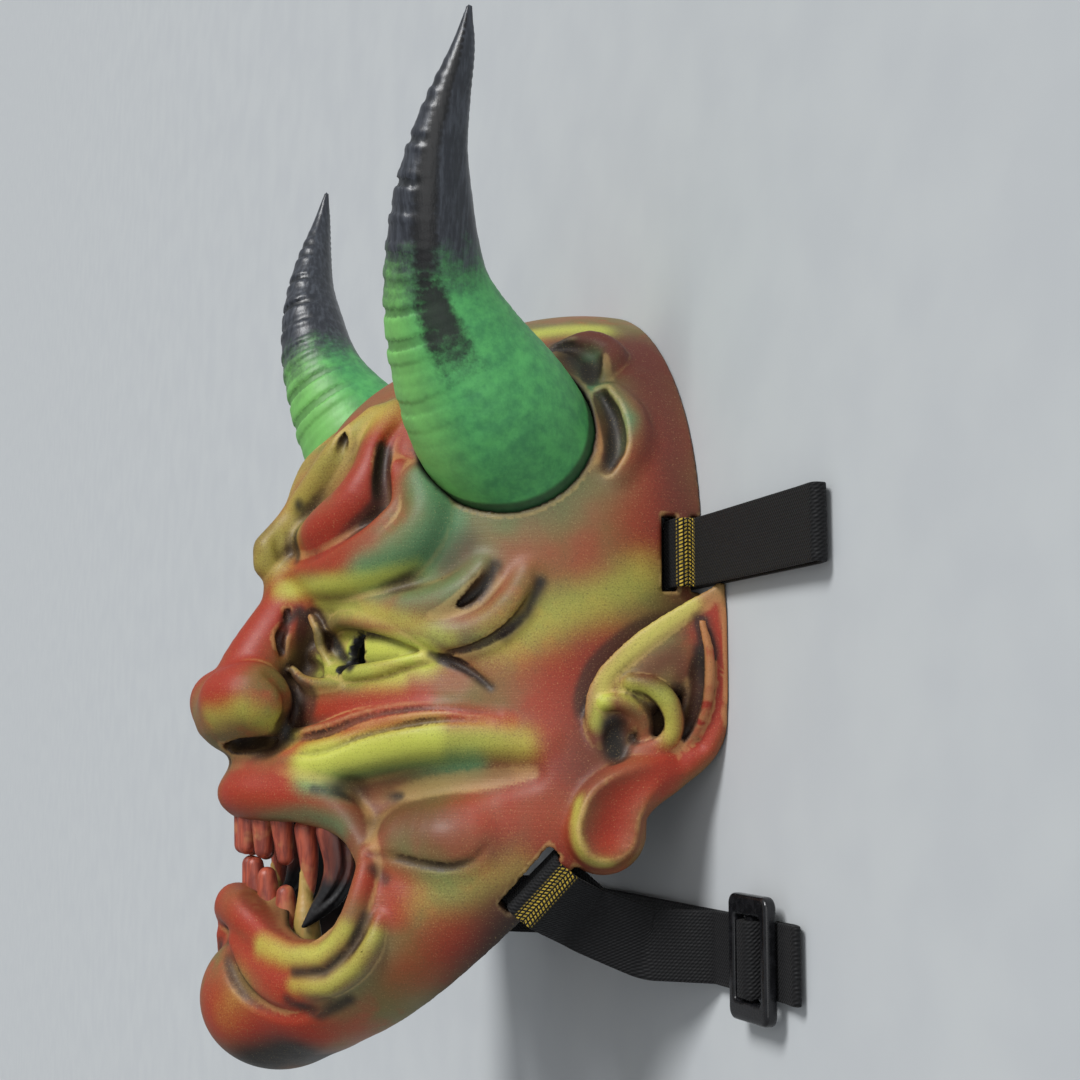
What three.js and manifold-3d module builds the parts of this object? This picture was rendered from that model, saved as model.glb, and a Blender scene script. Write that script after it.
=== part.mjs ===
// A demon mask with two long horns, two elastic head straps and a strap adjuster, lying face up.
// Millimetres. X runs to the wearer's left, Y up the face towards the horns and Z out of the face.
// Z = 0 is the flat back rim that the mask lies on; X = 0 is the mirror plane of the face.
// The carving is laid out from a point between the eyes, and the finished mask is moved so that
// the origin is on the rim at the top of the forehead.
import * as THREE from "three";
import { mergeVertices } from "three/addons/utils/BufferGeometryUtils.js";
import Module from "manifold-3d";

const wasm = await Module();
wasm.setup();

// Driving dimensions
const faceHeight = 241; // from the chin to the top of the brow shell
const wall = 4.2; // thickness of the printed shell
const fitGap = 0.3; // clearance between neighbouring pieces
const hornLength = 140; // from the socket floor to the tip, along the middle line
const hornRootRadius = 26.5; // where the horn meets the skin
const hornRings = 13; // growth rings round each horn
const ringHeight = 1.1; // how far the growth rings stand out
const socketDepth = 2; // how deep a horn sits in the skin
const eyeSlitWidth = 5.5; // see-through pupil of each eye
const eyeSlitHeight = 12;
const strapWidth = 20; // flat elastic
const strapThickness = 1.4;
const slotWidth = 4.5; // strap slots along the rim
const barWidth = 4.4; // strip of rim that a strap wraps round
const upperFold = 160; // how far the loose upper strap reaches out to the wearer's left
const lowerFold = 142; // the same for the lower strap
const adjusterLength = 22; // strap adjuster, along the strap
const adjusterWidth = 33; // across the strap
const adjusterThickness = 3.6;
const adjusterRail = 3.6; // width of its end rails and its middle bar

// The carving is drawn on a face of this height and follows the real one as shares of it.
const drawnHeight = 241;
const unit = faceHeight / drawnHeight;

// Smooth joins and cuts of distance fields, blended over k
function smoothMin(a, b, k) {
  const h = Math.max(k - Math.abs(a - b), 0) / k;
  return Math.min(a, b) - h * h * k * 0.25;
}

function smoothMax(a, b, k) {
  return -smoothMin(-a, -b, k);
}

function ellipsoid(centre, radii) {
  return (x, y, z) => {
    const a = (x - centre[0]) / radii[0];
    const b = (y - centre[1]) / radii[1];
    const c = (z - centre[2]) / radii[2];
    const reach = Math.hypot(a, b, c);
    const slope = Math.hypot(a / radii[0], b / radii[1], c / radii[2]);
    return (reach * (reach - 1)) / (slope + 1e-9);
  };
}

// Knots [Vector3, radius] along a smooth curve through points [x, y, z, radius]
function knotsAlong(points, perSpan) {
  const places = points.map(([x, y, z]) => new THREE.Vector3(x, y, z));
  const curve = new THREE.CatmullRomCurve3(places, false, "catmullrom", 0.5);
  const spans = points.length - 1;
  const knots = [];
  for (let i = 0; i <= spans * perSpan; i += 1) {
    const t = i / perSpan;
    const span = Math.min(Math.floor(t), spans - 1);
    const radius = THREE.MathUtils.lerp(points[span][3], points[span + 1][3], t - span);
    knots.push([curve.getPoint(t / spans), radius]);
  }
  return knots;
}

// A rounded roll of skin through points [x, y, z, radius]
function roll(points) {
  const knots = knotsAlong(points, 3);
  const box = new THREE.Box3();
  knots.forEach(([p, r]) => {
    box.expandByPoint(p.clone().addScalar(r));
    box.expandByPoint(p.clone().addScalar(-r));
  });
  box.expandByScalar(12);
  return (x, y, z) => {
    if (x < box.min.x || x > box.max.x || y < box.min.y) return 12;
    if (y > box.max.y || z < box.min.z || z > box.max.z) return 12;
    let nearest = Infinity;
    for (let i = 1; i < knots.length; i += 1) {
      const [a, ra] = knots[i - 1];
      const [b, rb] = knots[i];
      const dx = b.x - a.x;
      const dy = b.y - a.y;
      const dz = b.z - a.z;
      const along = (x - a.x) * dx + (y - a.y) * dy + (z - a.z) * dz;
      const t = Math.min(Math.max(along / (dx * dx + dy * dy + dz * dz + 1e-9), 0), 1);
      const away = Math.hypot(x - a.x - dx * t, y - a.y - dy * t, z - a.z - dz * t);
      nearest = Math.min(nearest, away - ra - (rb - ra) * t);
    }
    return nearest;
  };
}

// Each form is added to, or cut from, what comes before it, blended over its softness.
function carve(forms) {
  return (x, y, z) => {
    let d = 1e3;
    for (const { add, cut, soft } of forms) {
      if (add) d = smoothMin(d, add(x, y, z), soft);
      else d = smoothMax(d, -cut(x, y, z), soft);
    }
    return d;
  };
}

// The bald head form under the carving, without folds
const headForms = [
  { soft: 1, add: ellipsoid([0, -10, 5], [84, 85, 86]) },
  { soft: 14, add: ellipsoid([0, -58, 14], [83, 86, 84]) },
  { soft: 16, add: ellipsoid([0, 4, 58], [42, 44, 39]) },
  { soft: 24, add: roll([[60, -92, 28, 28], [42, -116, 68, 25], [22, -136, 96, 22]]) },
  { soft: 20, add: ellipsoid([0, -92, 84], [33, 38, 31]) },
  { soft: 10, add: ellipsoid([0, -144, 104], [25, 22, 25]) },
];

// The folds of the face, on the wearer's left half; the right half mirrors them.
const foldForms = [
  // nose bridge, tip, wing, and the groove behind the wing
  { soft: 9, add: roll([[0, -14, 92, 11], [0, -32, 103, 10], [0, -46, 112, 12], [0, -56, 115, 14.5]]) },
  { soft: 6, add: ellipsoid([0, -59, 117], [15, 11.5, 15.5]) },
  { soft: 4, add: roll([[9, -54, 123, 10], [15, -54, 119, 11], [18, -55, 116, 9]]) },
  { soft: 3, cut: roll([[24, -46, 114, 1.5], [24, -52, 109, 2], [21, -66, 109, 2]]) },
  // heavy brow roll, the rim above it and the tongue of skin that falls between the horns
  { soft: 4, add: roll([
    [1, -16, 97, 9], [24, -16, 92, 9], [40, -13, 84, 9], [50, 0, 73, 8], [46, 8, 74, 7],
  ]) },
  { soft: 3, add: roll([
    [0, -7, 109, 4], [14, -15, 101, 3.5], [33, -10, 93, 3.5], [45, 3, 81, 3], [40, 14, 80, 3],
  ]) },
  { soft: 3, add: roll([[5, -4, 100, 5], [21, -2, 97, 8], [34, 13, 88, 7], [28, 33, 79, 5]]) },
  { soft: 4, add: roll([[0, -6, 111, 5], [0, 5, 102, 5], [17, 24, 92, 4.5], [23, 32, 83, 4]]) },
  { soft: 1.5, cut: roll([[36, 29, 79, 1.5], [36, 22, 82, 2], [43, 3, 83, 4]]) },
  // two folds over the eye, each with a slit above its outer end
  { soft: 4, add: roll([
    [0, -22, 99, 4], [23, -26, 90, 4.5], [42, -29, 82, 5.5], [61, -25, 66, 5.5], [64, -19, 61, 4],
  ]) },
  { soft: 1.2, cut: roll([[68, -15, 59, 1.5], [67, -24, 62, 3], [58, -31, 73, 1]]) },
  { soft: 4, add: roll([
    [26, -30, 89, 3], [46, -34, 80, 4.5], [60, -37, 69, 5.5], [71, -27, 53, 5], [71, -20, 49, 3.5],
  ]) },
  { soft: 1.2, cut: roll([[76, -20, 48, 1.5], [75, -31, 51, 3], [62, -42, 71, 1]]) },
  // cheekbone, the long pad under it with its rim, and the hollow below
  { soft: 6, add: roll([[7, -58, 97, 8.5], [26, -57, 86, 10], [44, -56, 74, 10], [57, -58, 62, 9]]) },
  { soft: 4, add: roll([[21, -74, 104, 7], [40, -70, 88, 8], [55, -66, 74, 7.5], [75, -68, 45, 4]]) },
  { soft: 2, add: roll([
    [18, -67, 106, 3], [28, -65, 100, 3.5], [58, -59, 75, 3], [70, -61, 57, 2.5],
  ]) },
  { soft: 6, cut: roll([[20, -76, 110, 2], [39, -83, 95, 4], [67, -77, 69, 3.5], [80, -74, 53, 2]]) },
  // eye socket, eyeball and lids
  { soft: 2, cut: roll([[24, -38, 95, 4.5], [35, -39, 91, 6], [44, -40, 86, 5.5], [57, -42, 76, 2]]) },
  { soft: 1, add: roll([[25, -40, 82, 9.5], [36, -41, 78, 9.5], [44, -42, 73, 8.5]]) },
  { soft: 1.2, add: roll([
    [12, -34, 94, 2], [27, -31, 93, 2.5], [40, -32, 87, 2.5], [59, -42, 72, 1.5],
  ]) },
  { soft: 1.2, add: roll([
    [20, -46, 95, 2], [33, -47, 92, 2.5], [45, -46, 86, 2.5], [59, -43, 72, 1],
  ]) },
  // lips drawn back in a snarl, the ridge outside them and the crease over the chin
  { soft: 4, add: roll([
    [0, -83, 115, 9], [19, -82, 106, 8.5], [29, -83, 99, 7], [41, -93, 91, 4.5], [46, -99, 90, 4],
  ]) },
  { soft: 3, add: roll([
    [0, -119, 115, 7], [14, -121, 113, 7], [34, -127, 107, 5.5], [42, -126, 99, 4.5], [43, -110, 92, 4],
  ]) },
  { soft: 2, add: roll([[39, -134, 110, 3], [47, -136, 101, 4], [58, -118, 89, 2.5]]) },
  { soft: 3, cut: roll([
    [0, -128, 121, 2], [14, -128, 118, 2], [34, -131, 114, 2], [45, -142, 100, 1.5],
  ]) },
  // bulge of the jaw muscle and the smile line below it
  { soft: 6, add: roll([[52, -96, 79, 8], [61, -96, 70, 10], [67, -94, 64, 8]]) },
  { soft: 2, cut: roll([[52, -99, 91, 1.5], [66, -102, 78, 2], [76, -96, 63, 1]]) },
  // swollen skin behind each horn, with the groove between it and the horn
  { soft: 4, add: roll([[68, 35, 22, 4.5], [74, 28, 19, 5.5], [77, 19, 19, 5], [77, 11, 24, 4]]) },
  { soft: 2, cut: roll([[70, 35, 26, 2], [74, 28, 24, 3], [79, 12, 28, 2]]) },
  { soft: 3, add: roll([[51, 51, 32, 4], [52, 55, 22, 4.5], [62, 44, 24, 4]]) },
];

const drawnHead = carve(headForms);
const drawnFace = carve([...headForms, ...foldForms]);

// The fields at real size: distances in millimetres
function headField(x, y, z) {
  return drawnHead(Math.abs(x) / unit, y / unit, z / unit) * unit;
}

function faceField(x, y, z) {
  return drawnFace(Math.abs(x) / unit, y / unit, z / unit) * unit;
}

// Where a straight line from outside first meets a field, walking inwards
function firstHit(field, from, towards, reach) {
  const p = from.clone().addScaledVector(towards, reach);
  for (let i = 0; i < 160; i += 1) {
    const d = field(p.x, p.y, p.z);
    if (Math.abs(d) < 0.03) break;
    p.addScaledVector(towards, -Math.min(Math.max(d * 0.7, -4), 24));
  }
  return p;
}

// How far out the side of the face stands at one height and depth, on the skin or inside the shell
function sideReach(y, z, field = faceField) {
  return firstHit(field, new THREE.Vector3(0, y, z), new THREE.Vector3(1, 0, 0), 130 * unit).x;
}

function insideField(x, y, z) {
  return headField(x, y, z) + wall;
}

// Rows of sight lines over the face: level ones in the middle, fanned out over the crown and
// under the chin.
// Each row is [height, depth, tilt in degrees] of the point its lines leave from.
const behind = -25; // the level rows start this far behind the rim
const chinRows = [-60, -45, -36, -30, -25, -20, -15, -10, -5];
const crownRows = [9, 18, 27, 37, 48, 60];
const rows = [];
for (const tilt of chinRows) rows.push([-112, 20, tilt]);
for (let y = -112; y < 34; y += y < -14 ? 4.7 : 8) {
  const share = THREE.MathUtils.smoothstep(y, -112, -76);
  rows.push([y, 20 + (behind - 20) * share, 0]);
}
for (const tilt of crownRows) rows.push([34, behind, tilt]);

// Columns open slowly over the front of the face and faster round the side.
const sideColumns = 18;
const widest = 78; // degrees
function columnAngle(j) {
  const t = Math.abs(j) / sideColumns;
  return Math.sign(j) * widest * (0.46 * t + 0.54 * t ** 2.2);
}

function degrees(a) {
  return THREE.MathUtils.degToRad(a);
}

// A closed body bounded by a field as seen from inside; every step-th row and column is used.
function castBody(field, step) {
  const usedRows = rows.filter((row, i) => i % step === 0 || i === rows.length - 1);
  const half = Math.floor(sideColumns / step);
  const columns = [];
  for (let j = -half; j <= half; j += 1) columns.push((j * sideColumns) / half);
  const positions = [];
  for (const [y, z, tilt] of usedRows) {
    const from = new THREE.Vector3(0, y * unit, z * unit);
    const hits = columns.map((j) => {
      if (j < 0) return null;
      const swing = degrees(columnAngle(j));
      const towards = new THREE.Vector3(Math.sin(swing), 0, Math.cos(swing));
      towards.y = Math.sin(degrees(tilt)) * towards.z;
      towards.z *= Math.cos(degrees(tilt));
      return firstHit(field, from, towards, 230 * unit);
    });
    columns.forEach((j, k) => {
      const hit = hits[j < 0 ? columns.length - 1 - k : k];
      positions.push(j < 0 ? -hit.x : hit.x, hit.y, hit.z);
    });
  }
  const wide = columns.length;
  const high = usedRows.length;
  const index = [];
  for (let i = 0; i + 1 < high; i += 1) {
    for (let j = 0; j + 1 < wide; j += 1) {
      const a = i * wide + j;
      const corners = [a, a + 1, a + wide + 1, a + wide];
      // the diagonal mirrors with the face
      const order = j < wide / 2 - 1 ? [0, 1, 2, 0, 2, 3] : [0, 1, 3, 1, 2, 3];
      index.push(...order.map((k) => corners[k]));
    }
  }
  const edge = [];
  for (let j = 0; j < wide; j += 1) edge.push(j);
  for (let i = 1; i < high; i += 1) edge.push(i * wide + wide - 1);
  for (let j = wide - 2; j >= 0; j -= 1) edge.push((high - 1) * wide + j);
  for (let i = high - 2; i > 0; i -= 1) edge.push(i * wide);
  const apex = positions.length / 3;
  positions.push(0, -40 * unit, -42 * unit);
  edge.forEach((a, k) => index.push(edge[(k + 1) % edge.length], a, apex));
  return solid(geometryOf(positions, index));
}

function geometryOf(positions, index) {
  const geometry = new THREE.BufferGeometry();
  geometry.setAttribute("position", new THREE.Float32BufferAttribute(positions, 3));
  geometry.setIndex(index);
  return geometry;
}

// A closed three.js geometry as a solid to join and cut
function solid(geometry) {
  const bare = geometry.clone();
  bare.deleteAttribute("normal");
  bare.deleteAttribute("uv");
  const merged = mergeVertices(bare, 1e-4);
  const vertProperties = new Float32Array(merged.attributes.position.array);
  const triVerts = new Uint32Array(merged.index.array);
  return new wasm.Manifold(new wasm.Mesh({ numProp: 3, vertProperties, triVerts }));
}

function geometryFrom(body) {
  const { vertProperties, triVerts } = body.getMesh();
  const geometry = geometryOf(Array.from(vertProperties), Array.from(triVerts));
  const flat = geometry.toNonIndexed();
  flat.computeVertexNormals();
  return flat;
}

function mirrored(body) {
  const geometry = geometryFrom(body);
  geometry.scale(-1, 1, 1);
  const p = geometry.attributes.position;
  for (let i = 0; i < p.count; i += 3) {
    const kept = [p.getX(i), p.getY(i), p.getZ(i)];
    p.setXYZ(i, p.getX(i + 1), p.getY(i + 1), p.getZ(i + 1));
    p.setXYZ(i + 1, ...kept);
  }
  return solid(geometry);
}

// A tapered round body through knots [Vector3, radius]; shape(angle, share) scales the radius
function taperedBody(knots, sides, shape = () => 1) {
  const positions = [];
  const last = knots.length - 1;
  const ahead = (i) => {
    const a = knots[Math.max(i - 1, 0)][0];
    const b = knots[Math.min(i + 1, last)][0];
    return b.clone().sub(a).normalize();
  };
  let across = new THREE.Vector3(1, 0, 0.2);
  knots.forEach(([centre, radius], i) => {
    const tangent = ahead(i);
    across = across.clone().addScaledVector(tangent, -across.dot(tangent)).normalize();
    const other = tangent.clone().cross(across);
    for (let k = 0; k < sides; k += 1) {
      const angle = (2 * Math.PI * k) / sides;
      const r = radius * shape(angle, i / last);
      const p = centre.clone().addScaledVector(across, Math.cos(angle) * r);
      p.addScaledVector(other, Math.sin(angle) * r);
      positions.push(p.x, p.y, p.z);
    }
  });
  const ends = positions.length / 3;
  positions.push(...knots[0][0].toArray(), ...knots[last][0].toArray());
  const index = [];
  for (let k = 0; k < sides; k += 1) {
    const next = (k + 1) % sides;
    for (let i = 0; i < last; i += 1) {
      const a = i * sides;
      const b = a + sides;
      index.push(a + k, a + next, b + next, a + k, b + next, b + k);
    }
    index.push(next, k, ends);
    index.push(last * sides + k, last * sides + next, ends + 1);
  }
  return solid(geometryOf(positions, index));
}

function scaledPoints(points) {
  return points.map(([x, y, z, r]) => [x * unit, y * unit, z * unit, r * unit]);
}

function box(size, centre, turn = new THREE.Matrix4()) {
  const geometry = new THREE.BoxGeometry(...size);
  geometry.applyMatrix4(turn);
  geometry.translate(...centre);
  return solid(geometry);
}

// Both of a mirrored pair, joined to or cut from a body
function addBoth(body, piece) {
  return body.add(piece).add(mirrored(piece));
}

function cutBoth(body, piece) {
  return body.subtract(piece).subtract(mirrored(piece));
}

// Horns

// The middle line of the horn from its root, as [x, y, z, radius] on a horn of the drawn length
const drawnHornLength = 140;
const hornLine = [
  [50, 8, 42, 27], [54, 20, 51, 26.5], [60, 38, 64, 22.5], [67, 58, 76, 16.4],
  [73, 73, 80, 13.2], [78, 87, 81, 10.9], [82, 100, 81, 8.3], [86, 114, 79, 6], [89, 128, 76, 3.3],
  [89, 140, 74, 0.8],
];

function hornKnots(extra) {
  const [rootX, rootY, rootZ] = hornLine[1];
  const stretch = hornLength / drawnHornLength;
  const girth = hornRootRadius / hornLine[1][3];
  const drawn = hornLine.map(([x, y, z, r], i) => {
    const s = i < 2 ? 1 : stretch;
    return [
      rootX * unit + (x - rootX) * s,
      rootY * unit + (y - rootY) * s,
      rootZ * unit + (z - rootZ) * s,
      r * girth + extra,
    ];
  });
  return knotsAlong(drawn, 3);
}

// Growth rings fade out at the root and at the tip; a shallow groove runs up the outer side.
function hornShape(angle, share) {
  const { smoothstep } = THREE.MathUtils;
  const fade = smoothstep(share, 0.2, 0.45) * smoothstep(1 - share, 0.1, 0.3);
  const front = 0.5 + 0.5 * Math.cos(angle - Math.PI * 0.75);
  const ring = Math.cos(2 * Math.PI * hornRings * share);
  const girth = 14; // radius where the rings are cut deepest
  return 1 + (ringHeight / girth) * fade * front * ring;
}

function hornBody(extra) {
  return taperedBody(hornKnots(extra), 11, hornShape);
}

const footForm = castBody((x, y, z) => headField(x, y, z) + socketDepth, 2);
const socketForm = castBody((x, y, z) => headField(x, y, z) + socketDepth + fitGap, 2);

function horn() {
  return hornBody(0).subtract(footForm);
}

// Ears

const earOutline = [
  [32, -70], [36, -58], [35, -49], [30, -43], [16, -36], [1, -25],
  [0.6, -34], [0.6, -52], [1, -62], [6, -70], [14, -77], [18, -82],
  [19, -94], [22, -100], [31, -102], [40, -98], [43, -91], [40, -82],
];
const earSlope = 0.4; // the ears swing outwards towards the rim
const earFace = 84.5; // outer face of the ear above the rim plane, where it leaves the cheek
const earPlate = 5; // thickness of the ear behind its rim
const earLift = 8;

function earReach(z) {
  return earFace + earLift + 8 - earSlope * z;
}

function ear() {
  const shape = new THREE.Shape(earOutline.map(([z, y]) => new THREE.Vector2(z, y)));
  const plate = new THREE.ExtrudeGeometry(shape, { depth: earPlate, bevelEnabled: false, steps: 1 });
  const p = plate.attributes.position;
  for (let i = 0; i < p.count; i += 1) {
    const [z, y, deep] = [p.getX(i), p.getY(i), p.getZ(i)];
    p.setXYZ(i, (earReach(z) - 2 - deep) * unit, y * unit, z * unit);
  }
  let body = solid(plate);
  // rolled rim, lobe, inner fold and the small flap in front of the ear hole
  const rolls = [
    [[85, -67, 32, 3.5], [86, -60, 34, 3.5], [89, -46, 30, 3.5], [93, -37, 18, 3.2], [99, -26, 3.2, 1.8]],
    [[99, -26, 3.2, 1.8], [98.5, -36, 4, 3], [97.5, -56, 4.6, 3.8], [92, -73, 11, 4], [87, -79, 19, 4.5]],
    [[90, -51, 25, 3], [93, -51, 18, 3.8], [93, -61, 14, 4], [90, -67, 17, 3.5], [86, -70, 22, 3]],
    [[86, -80, 26, 8], [83, -91, 31, 10.5]],
  ];
  for (const points of rolls) {
    body = body.add(taperedBody(knotsAlong(scaledPoints(points), 1), 5));
  }
  const hole = taperedBody(knotsAlong(scaledPoints([[84, -65, 29, 2.5], [100, -65, 29, 3.4]]), 1), 6);
  return body.subtract(hole);
}

// Mouth and teeth

// Half of the mouth's opening as seen from the front, from the upper lip round to the lower lip
const mouthHalf = [
  [0, -91], [24, -90.5], [33, -93], [38, -99], [39, -111], [36, -122], [29, -128.5], [20, -126],
  [10, -117], [0, -112.5],
];

function frontPrism(outline, from, to) {
  const shape = new THREE.Shape(outline.map(([x, y]) => new THREE.Vector2(x * unit, y * unit)));
  const geometry = new THREE.ExtrudeGeometry(shape, { depth: (to - from) * unit, bevelEnabled: false });
  geometry.translate(0, 0, from * unit);
  return solid(geometry);
}

const gums = [
  [[34, -93, 82, 6], [26, -89, 94, 6], [14, -86, 104, 6], [0, -86, 108, 6]],
  [[34, -127, 80, 5.5], [25, -130, 93, 5.5], [14, -125, 105, 5.5], [0, -122, 112, 5.5]],
];

// Root and tip of each tooth on the wearer's left, with the fangs curving in between
const teeth = [
  [[3, -89, 115, 3.4], [3, -98, 116, 2.8]],
  [[9, -89, 112, 3.4], [9, -100, 112, 2.8]],
  [[15, -90, 107, 3.4], [15, -102, 107, 2.6]],
  [[21, -91, 103, 3.6], [21, -102, 104, 3.2], [21, -114, 102, 0.7]],
  [[26, -92, 97, 3.8], [26, -103, 98, 3.4], [24, -115, 102, 0.8]],
  [[30, -93, 91, 5.2], [31, -103, 90, 5], [30, -112, 94, 3.8], [28, -120, 104, 0.7]],
  [[3, -121, 112, 3.4], [3, -112, 112, 2.6]],
  [[10, -124, 109, 3.8], [10, -114, 109, 2.8]],
  [[16, -127, 105, 4], [16, -117, 106, 2.6]],
  [[23, -129, 100, 4.5], [23, -121, 102, 3.8], [22, -107, 104, 0.7]],
];

// Rim and strap slots

// The rim lies flat from the temples up, and slopes forward along the jaw.
const jawStart = -51.5; // height where the flat rim turns into the jaw line
const jawSlope = 0.8; // rise of the jaw line per unit of height

function jawDepth(y) {
  return (jawStart - y) * jawSlope;
}

function rimCut() {
  const shape = new THREE.Shape();
  shape.moveTo(140, 0);
  shape.lineTo(jawStart + 16, 0);
  shape.quadraticCurveTo(jawStart, 0, jawStart - 14, jawDepth(jawStart - 14));
  shape.lineTo(-200, jawDepth(-200));
  shape.lineTo(-200, -140);
  shape.lineTo(140, -140);
  const geometry = new THREE.ExtrudeGeometry(shape, { depth: 400, bevelEnabled: false, curveSegments: 5 });
  geometry.translate(0, 0, -200);
  geometry.scale(unit, unit, 1);
  const turn = new THREE.Matrix4().makeBasis(
    new THREE.Vector3(0, 1, 0),
    new THREE.Vector3(0, 0, 1),
    new THREE.Vector3(1, 0, 0),
  );
  geometry.applyMatrix4(turn);
  return solid(geometry);
}

// Room under the upper strap bars for one layer round the bar and one on the floor
const layer = strapThickness + fitGap;
const barLift = 2 * layer + fitGap;
const slotLength = strapWidth + 2;

// The bar beside a slot, with axes out through the wall, along the rim and into the shell.
// The skin and the inside of the wall are felt at its corners and middle.
function rimBar(rimY, rimZ, along, into) {
  const skinAt = (a, r, field) => {
    const y = rimY + along.y * a + into.y * r;
    const z = rimZ + along.z * a + into.z * r;
    return new THREE.Vector3(sideReach(y, z, field), y, z);
  };
  const end = slotLength / 2;
  const origin = skinAt(0, barWidth / 2, faceField);
  const direction = (from, to) => skinAt(...to, faceField).sub(skinAt(...from, faceField)).normalize();
  const alongSkin = direction([-end, barWidth / 2], [end, barWidth / 2]);
  const intoSkin = direction([0, 0], [0, slotWidth + barWidth]);
  const out = alongSkin.clone().cross(intoSkin).normalize();
  if (out.x < 0) out.negate();
  let outer = -Infinity;
  let inner = Infinity;
  for (const a of [-end, 0, end]) {
    for (const r of [0, barWidth / 2, barWidth + clear]) {
      outer = Math.max(outer, skinAt(a, r, faceField).sub(origin).dot(out));
      inner = Math.min(inner, skinAt(a, r, insideField).sub(origin).dot(out));
    }
  }
  // s runs outwards from the skin and r from the rim into the shell
  const at = (s, r) => origin.clone().addScaledVector(out, s).addScaledVector(intoSkin, r - barWidth / 2);
  return {
    at, out, along: alongSkin, into: intoSkin, outer: outer + clear, inner: inner - clear - insideFacet,
  };
}

const clear = fitGap + strapThickness / 2; // middle of a layer lying against a surface
const insideFacet = 2.1; // the flat facets of the hollow stand this far inside its true curve
const upFace = new THREE.Vector3(0, 1, 0);
const forward = new THREE.Vector3(0, 0, 1);
const upperY = -13 * unit; // middle of the upper straps, up the face
const upperBar = rimBar(upperY, barLift, upFace, forward);

// The lower bars lie on the sloping jaw line.
const lowerHeight = -110; // middle of the lower slots, on the drawn face
const lowerY = lowerHeight * unit;
const jawAlong = new THREE.Vector3(0, 1, -jawSlope).normalize();
const jawInto = new THREE.Vector3(0, jawSlope, 1).normalize();
const lowerBar = rimBar(lowerY, jawDepth(lowerHeight) * unit, jawAlong, jawInto);

function slotCutters() {
  const deep = 30;
  const slotAt = ({ at, out, along, into }) => {
    const turn = new THREE.Matrix4().makeBasis(out, along, into);
    return box([deep, slotLength, slotWidth], at(0, barWidth + slotWidth / 2).toArray(), turn);
  };
  const notchAt = upperBar.at(0, -barLift).toArray();
  const notch = box([deep, slotLength, barLift * 2], [notchAt[0], upperY, 0]);
  return [slotAt(upperBar), slotAt(lowerBar), notch];
}

function maskShell() {
  let body = castBody(faceField, 1);
  const hollow = castBody(insideField, 3);
  const socket = hornBody(fitGap).subtract(socketForm);
  body = cutBoth(body, socket);
  body = body.subtract(hollow);
  body = addBoth(body, ear());
  body = body.subtract(rimCut());
  for (const cutter of slotCutters()) body = cutBoth(body, cutter);
  // see-through pupils and nostrils
  const pupil = new THREE.Shape();
  pupil.absellipse(32.5 * unit, -41 * unit, eyeSlitWidth / 2, eyeSlitHeight / 2, 0, 2 * Math.PI);
  const through = { depth: 120 * unit, bevelEnabled: false, curveSegments: 3 };
  const sight = new THREE.ExtrudeGeometry(pupil, through);
  sight.translate(0, 0, 30 * unit);
  body = cutBoth(body, solid(sight));
  const nostril = knotsAlong(scaledPoints([[9, -74, 121, 4], [11, -62, 115, 4], [9, -55, 110, 3]]), 1);
  body = cutBoth(body, taperedBody(nostril, 7));
  // open mouth, then the gums and teeth inside it
  const mirroredHalf = mouthHalf.slice(1, -1).reverse().map(([x, y]) => [-x, y]);
  body = body.subtract(frontPrism([...mouthHalf, ...mirroredHalf], 60, 150));
  for (const gum of gums) {
    const whole = [...gum, ...gum.slice(0, -1).reverse().map(([x, y, z, r]) => [-x, y, z, r])];
    body = body.add(taperedBody(knotsAlong(scaledPoints(whole), 2), 5));
  }
  for (const tooth of teeth) body = addBoth(body, taperedBody(knotsAlong(scaledPoints(tooth), 1), 5));
  return body;
}

// Straps

// A flat band along stations { at, across }: a middle point and the direction of the band's width
function band(stations) {
  const positions = [];
  const last = stations.length - 1;
  stations.forEach(({ at, across }, i) => {
    const a = stations[Math.max(i - 1, 0)].at;
    const b = stations[Math.min(i + 1, last)].at;
    const tangent = b.clone().sub(a).normalize();
    const wide = across.clone().addScaledVector(tangent, -across.dot(tangent)).normalize();
    const up = tangent.clone().cross(wide);
    for (const [w, t] of [[-1, -1], [1, -1], [1, 1], [-1, 1]]) {
      const p = at.clone().addScaledVector(wide, (w * strapWidth) / 2);
      p.addScaledVector(up, (t * strapThickness) / 2);
      positions.push(p.x, p.y, p.z);
    }
  });
  const index = [];
  for (let i = 0; i < last; i += 1) {
    for (let k = 0; k < 4; k += 1) {
      const a = i * 4 + k;
      const b = i * 4 + ((k + 1) % 4);
      index.push(a, b, b + 4, a, b + 4, a + 4);
    }
  }
  index.push(0, 2, 1, 0, 3, 2);
  const end = last * 4;
  index.push(end, end + 1, end + 2, end, end + 2, end + 3);
  return geometryOf(positions, index);
}

// Rounds every corner of a list of stations with an arc-like bend of the given size
function rounded(stations, bend, steps = 2) {
  const out = [stations[0]];
  for (let i = 1; i + 1 < stations.length; i += 1) {
    const here = stations[i];
    const [before, after] = [stations[i - 1].at, stations[i + 1].at];
    const cut = (to) => Math.min(bend, here.at.distanceTo(to) * 0.45);
    const start = here.at.clone().lerp(before, cut(before) / here.at.distanceTo(before));
    const finish = here.at.clone().lerp(after, cut(after) / here.at.distanceTo(after));
    const corner = new THREE.QuadraticBezierCurve3(start, here.at, finish);
    for (let k = 0; k <= steps; k += 1) out.push({ at: corner.getPoint(k / steps), across: here.across });
  }
  out.push(stations[stations.length - 1]);
  return out;
}

const floorLayer = strapThickness / 2;
const wrapLayer = floorLayer + layer;
const mainLayer = wrapLayer + layer;
const tail = 12; // stitched end beside each bar

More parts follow.
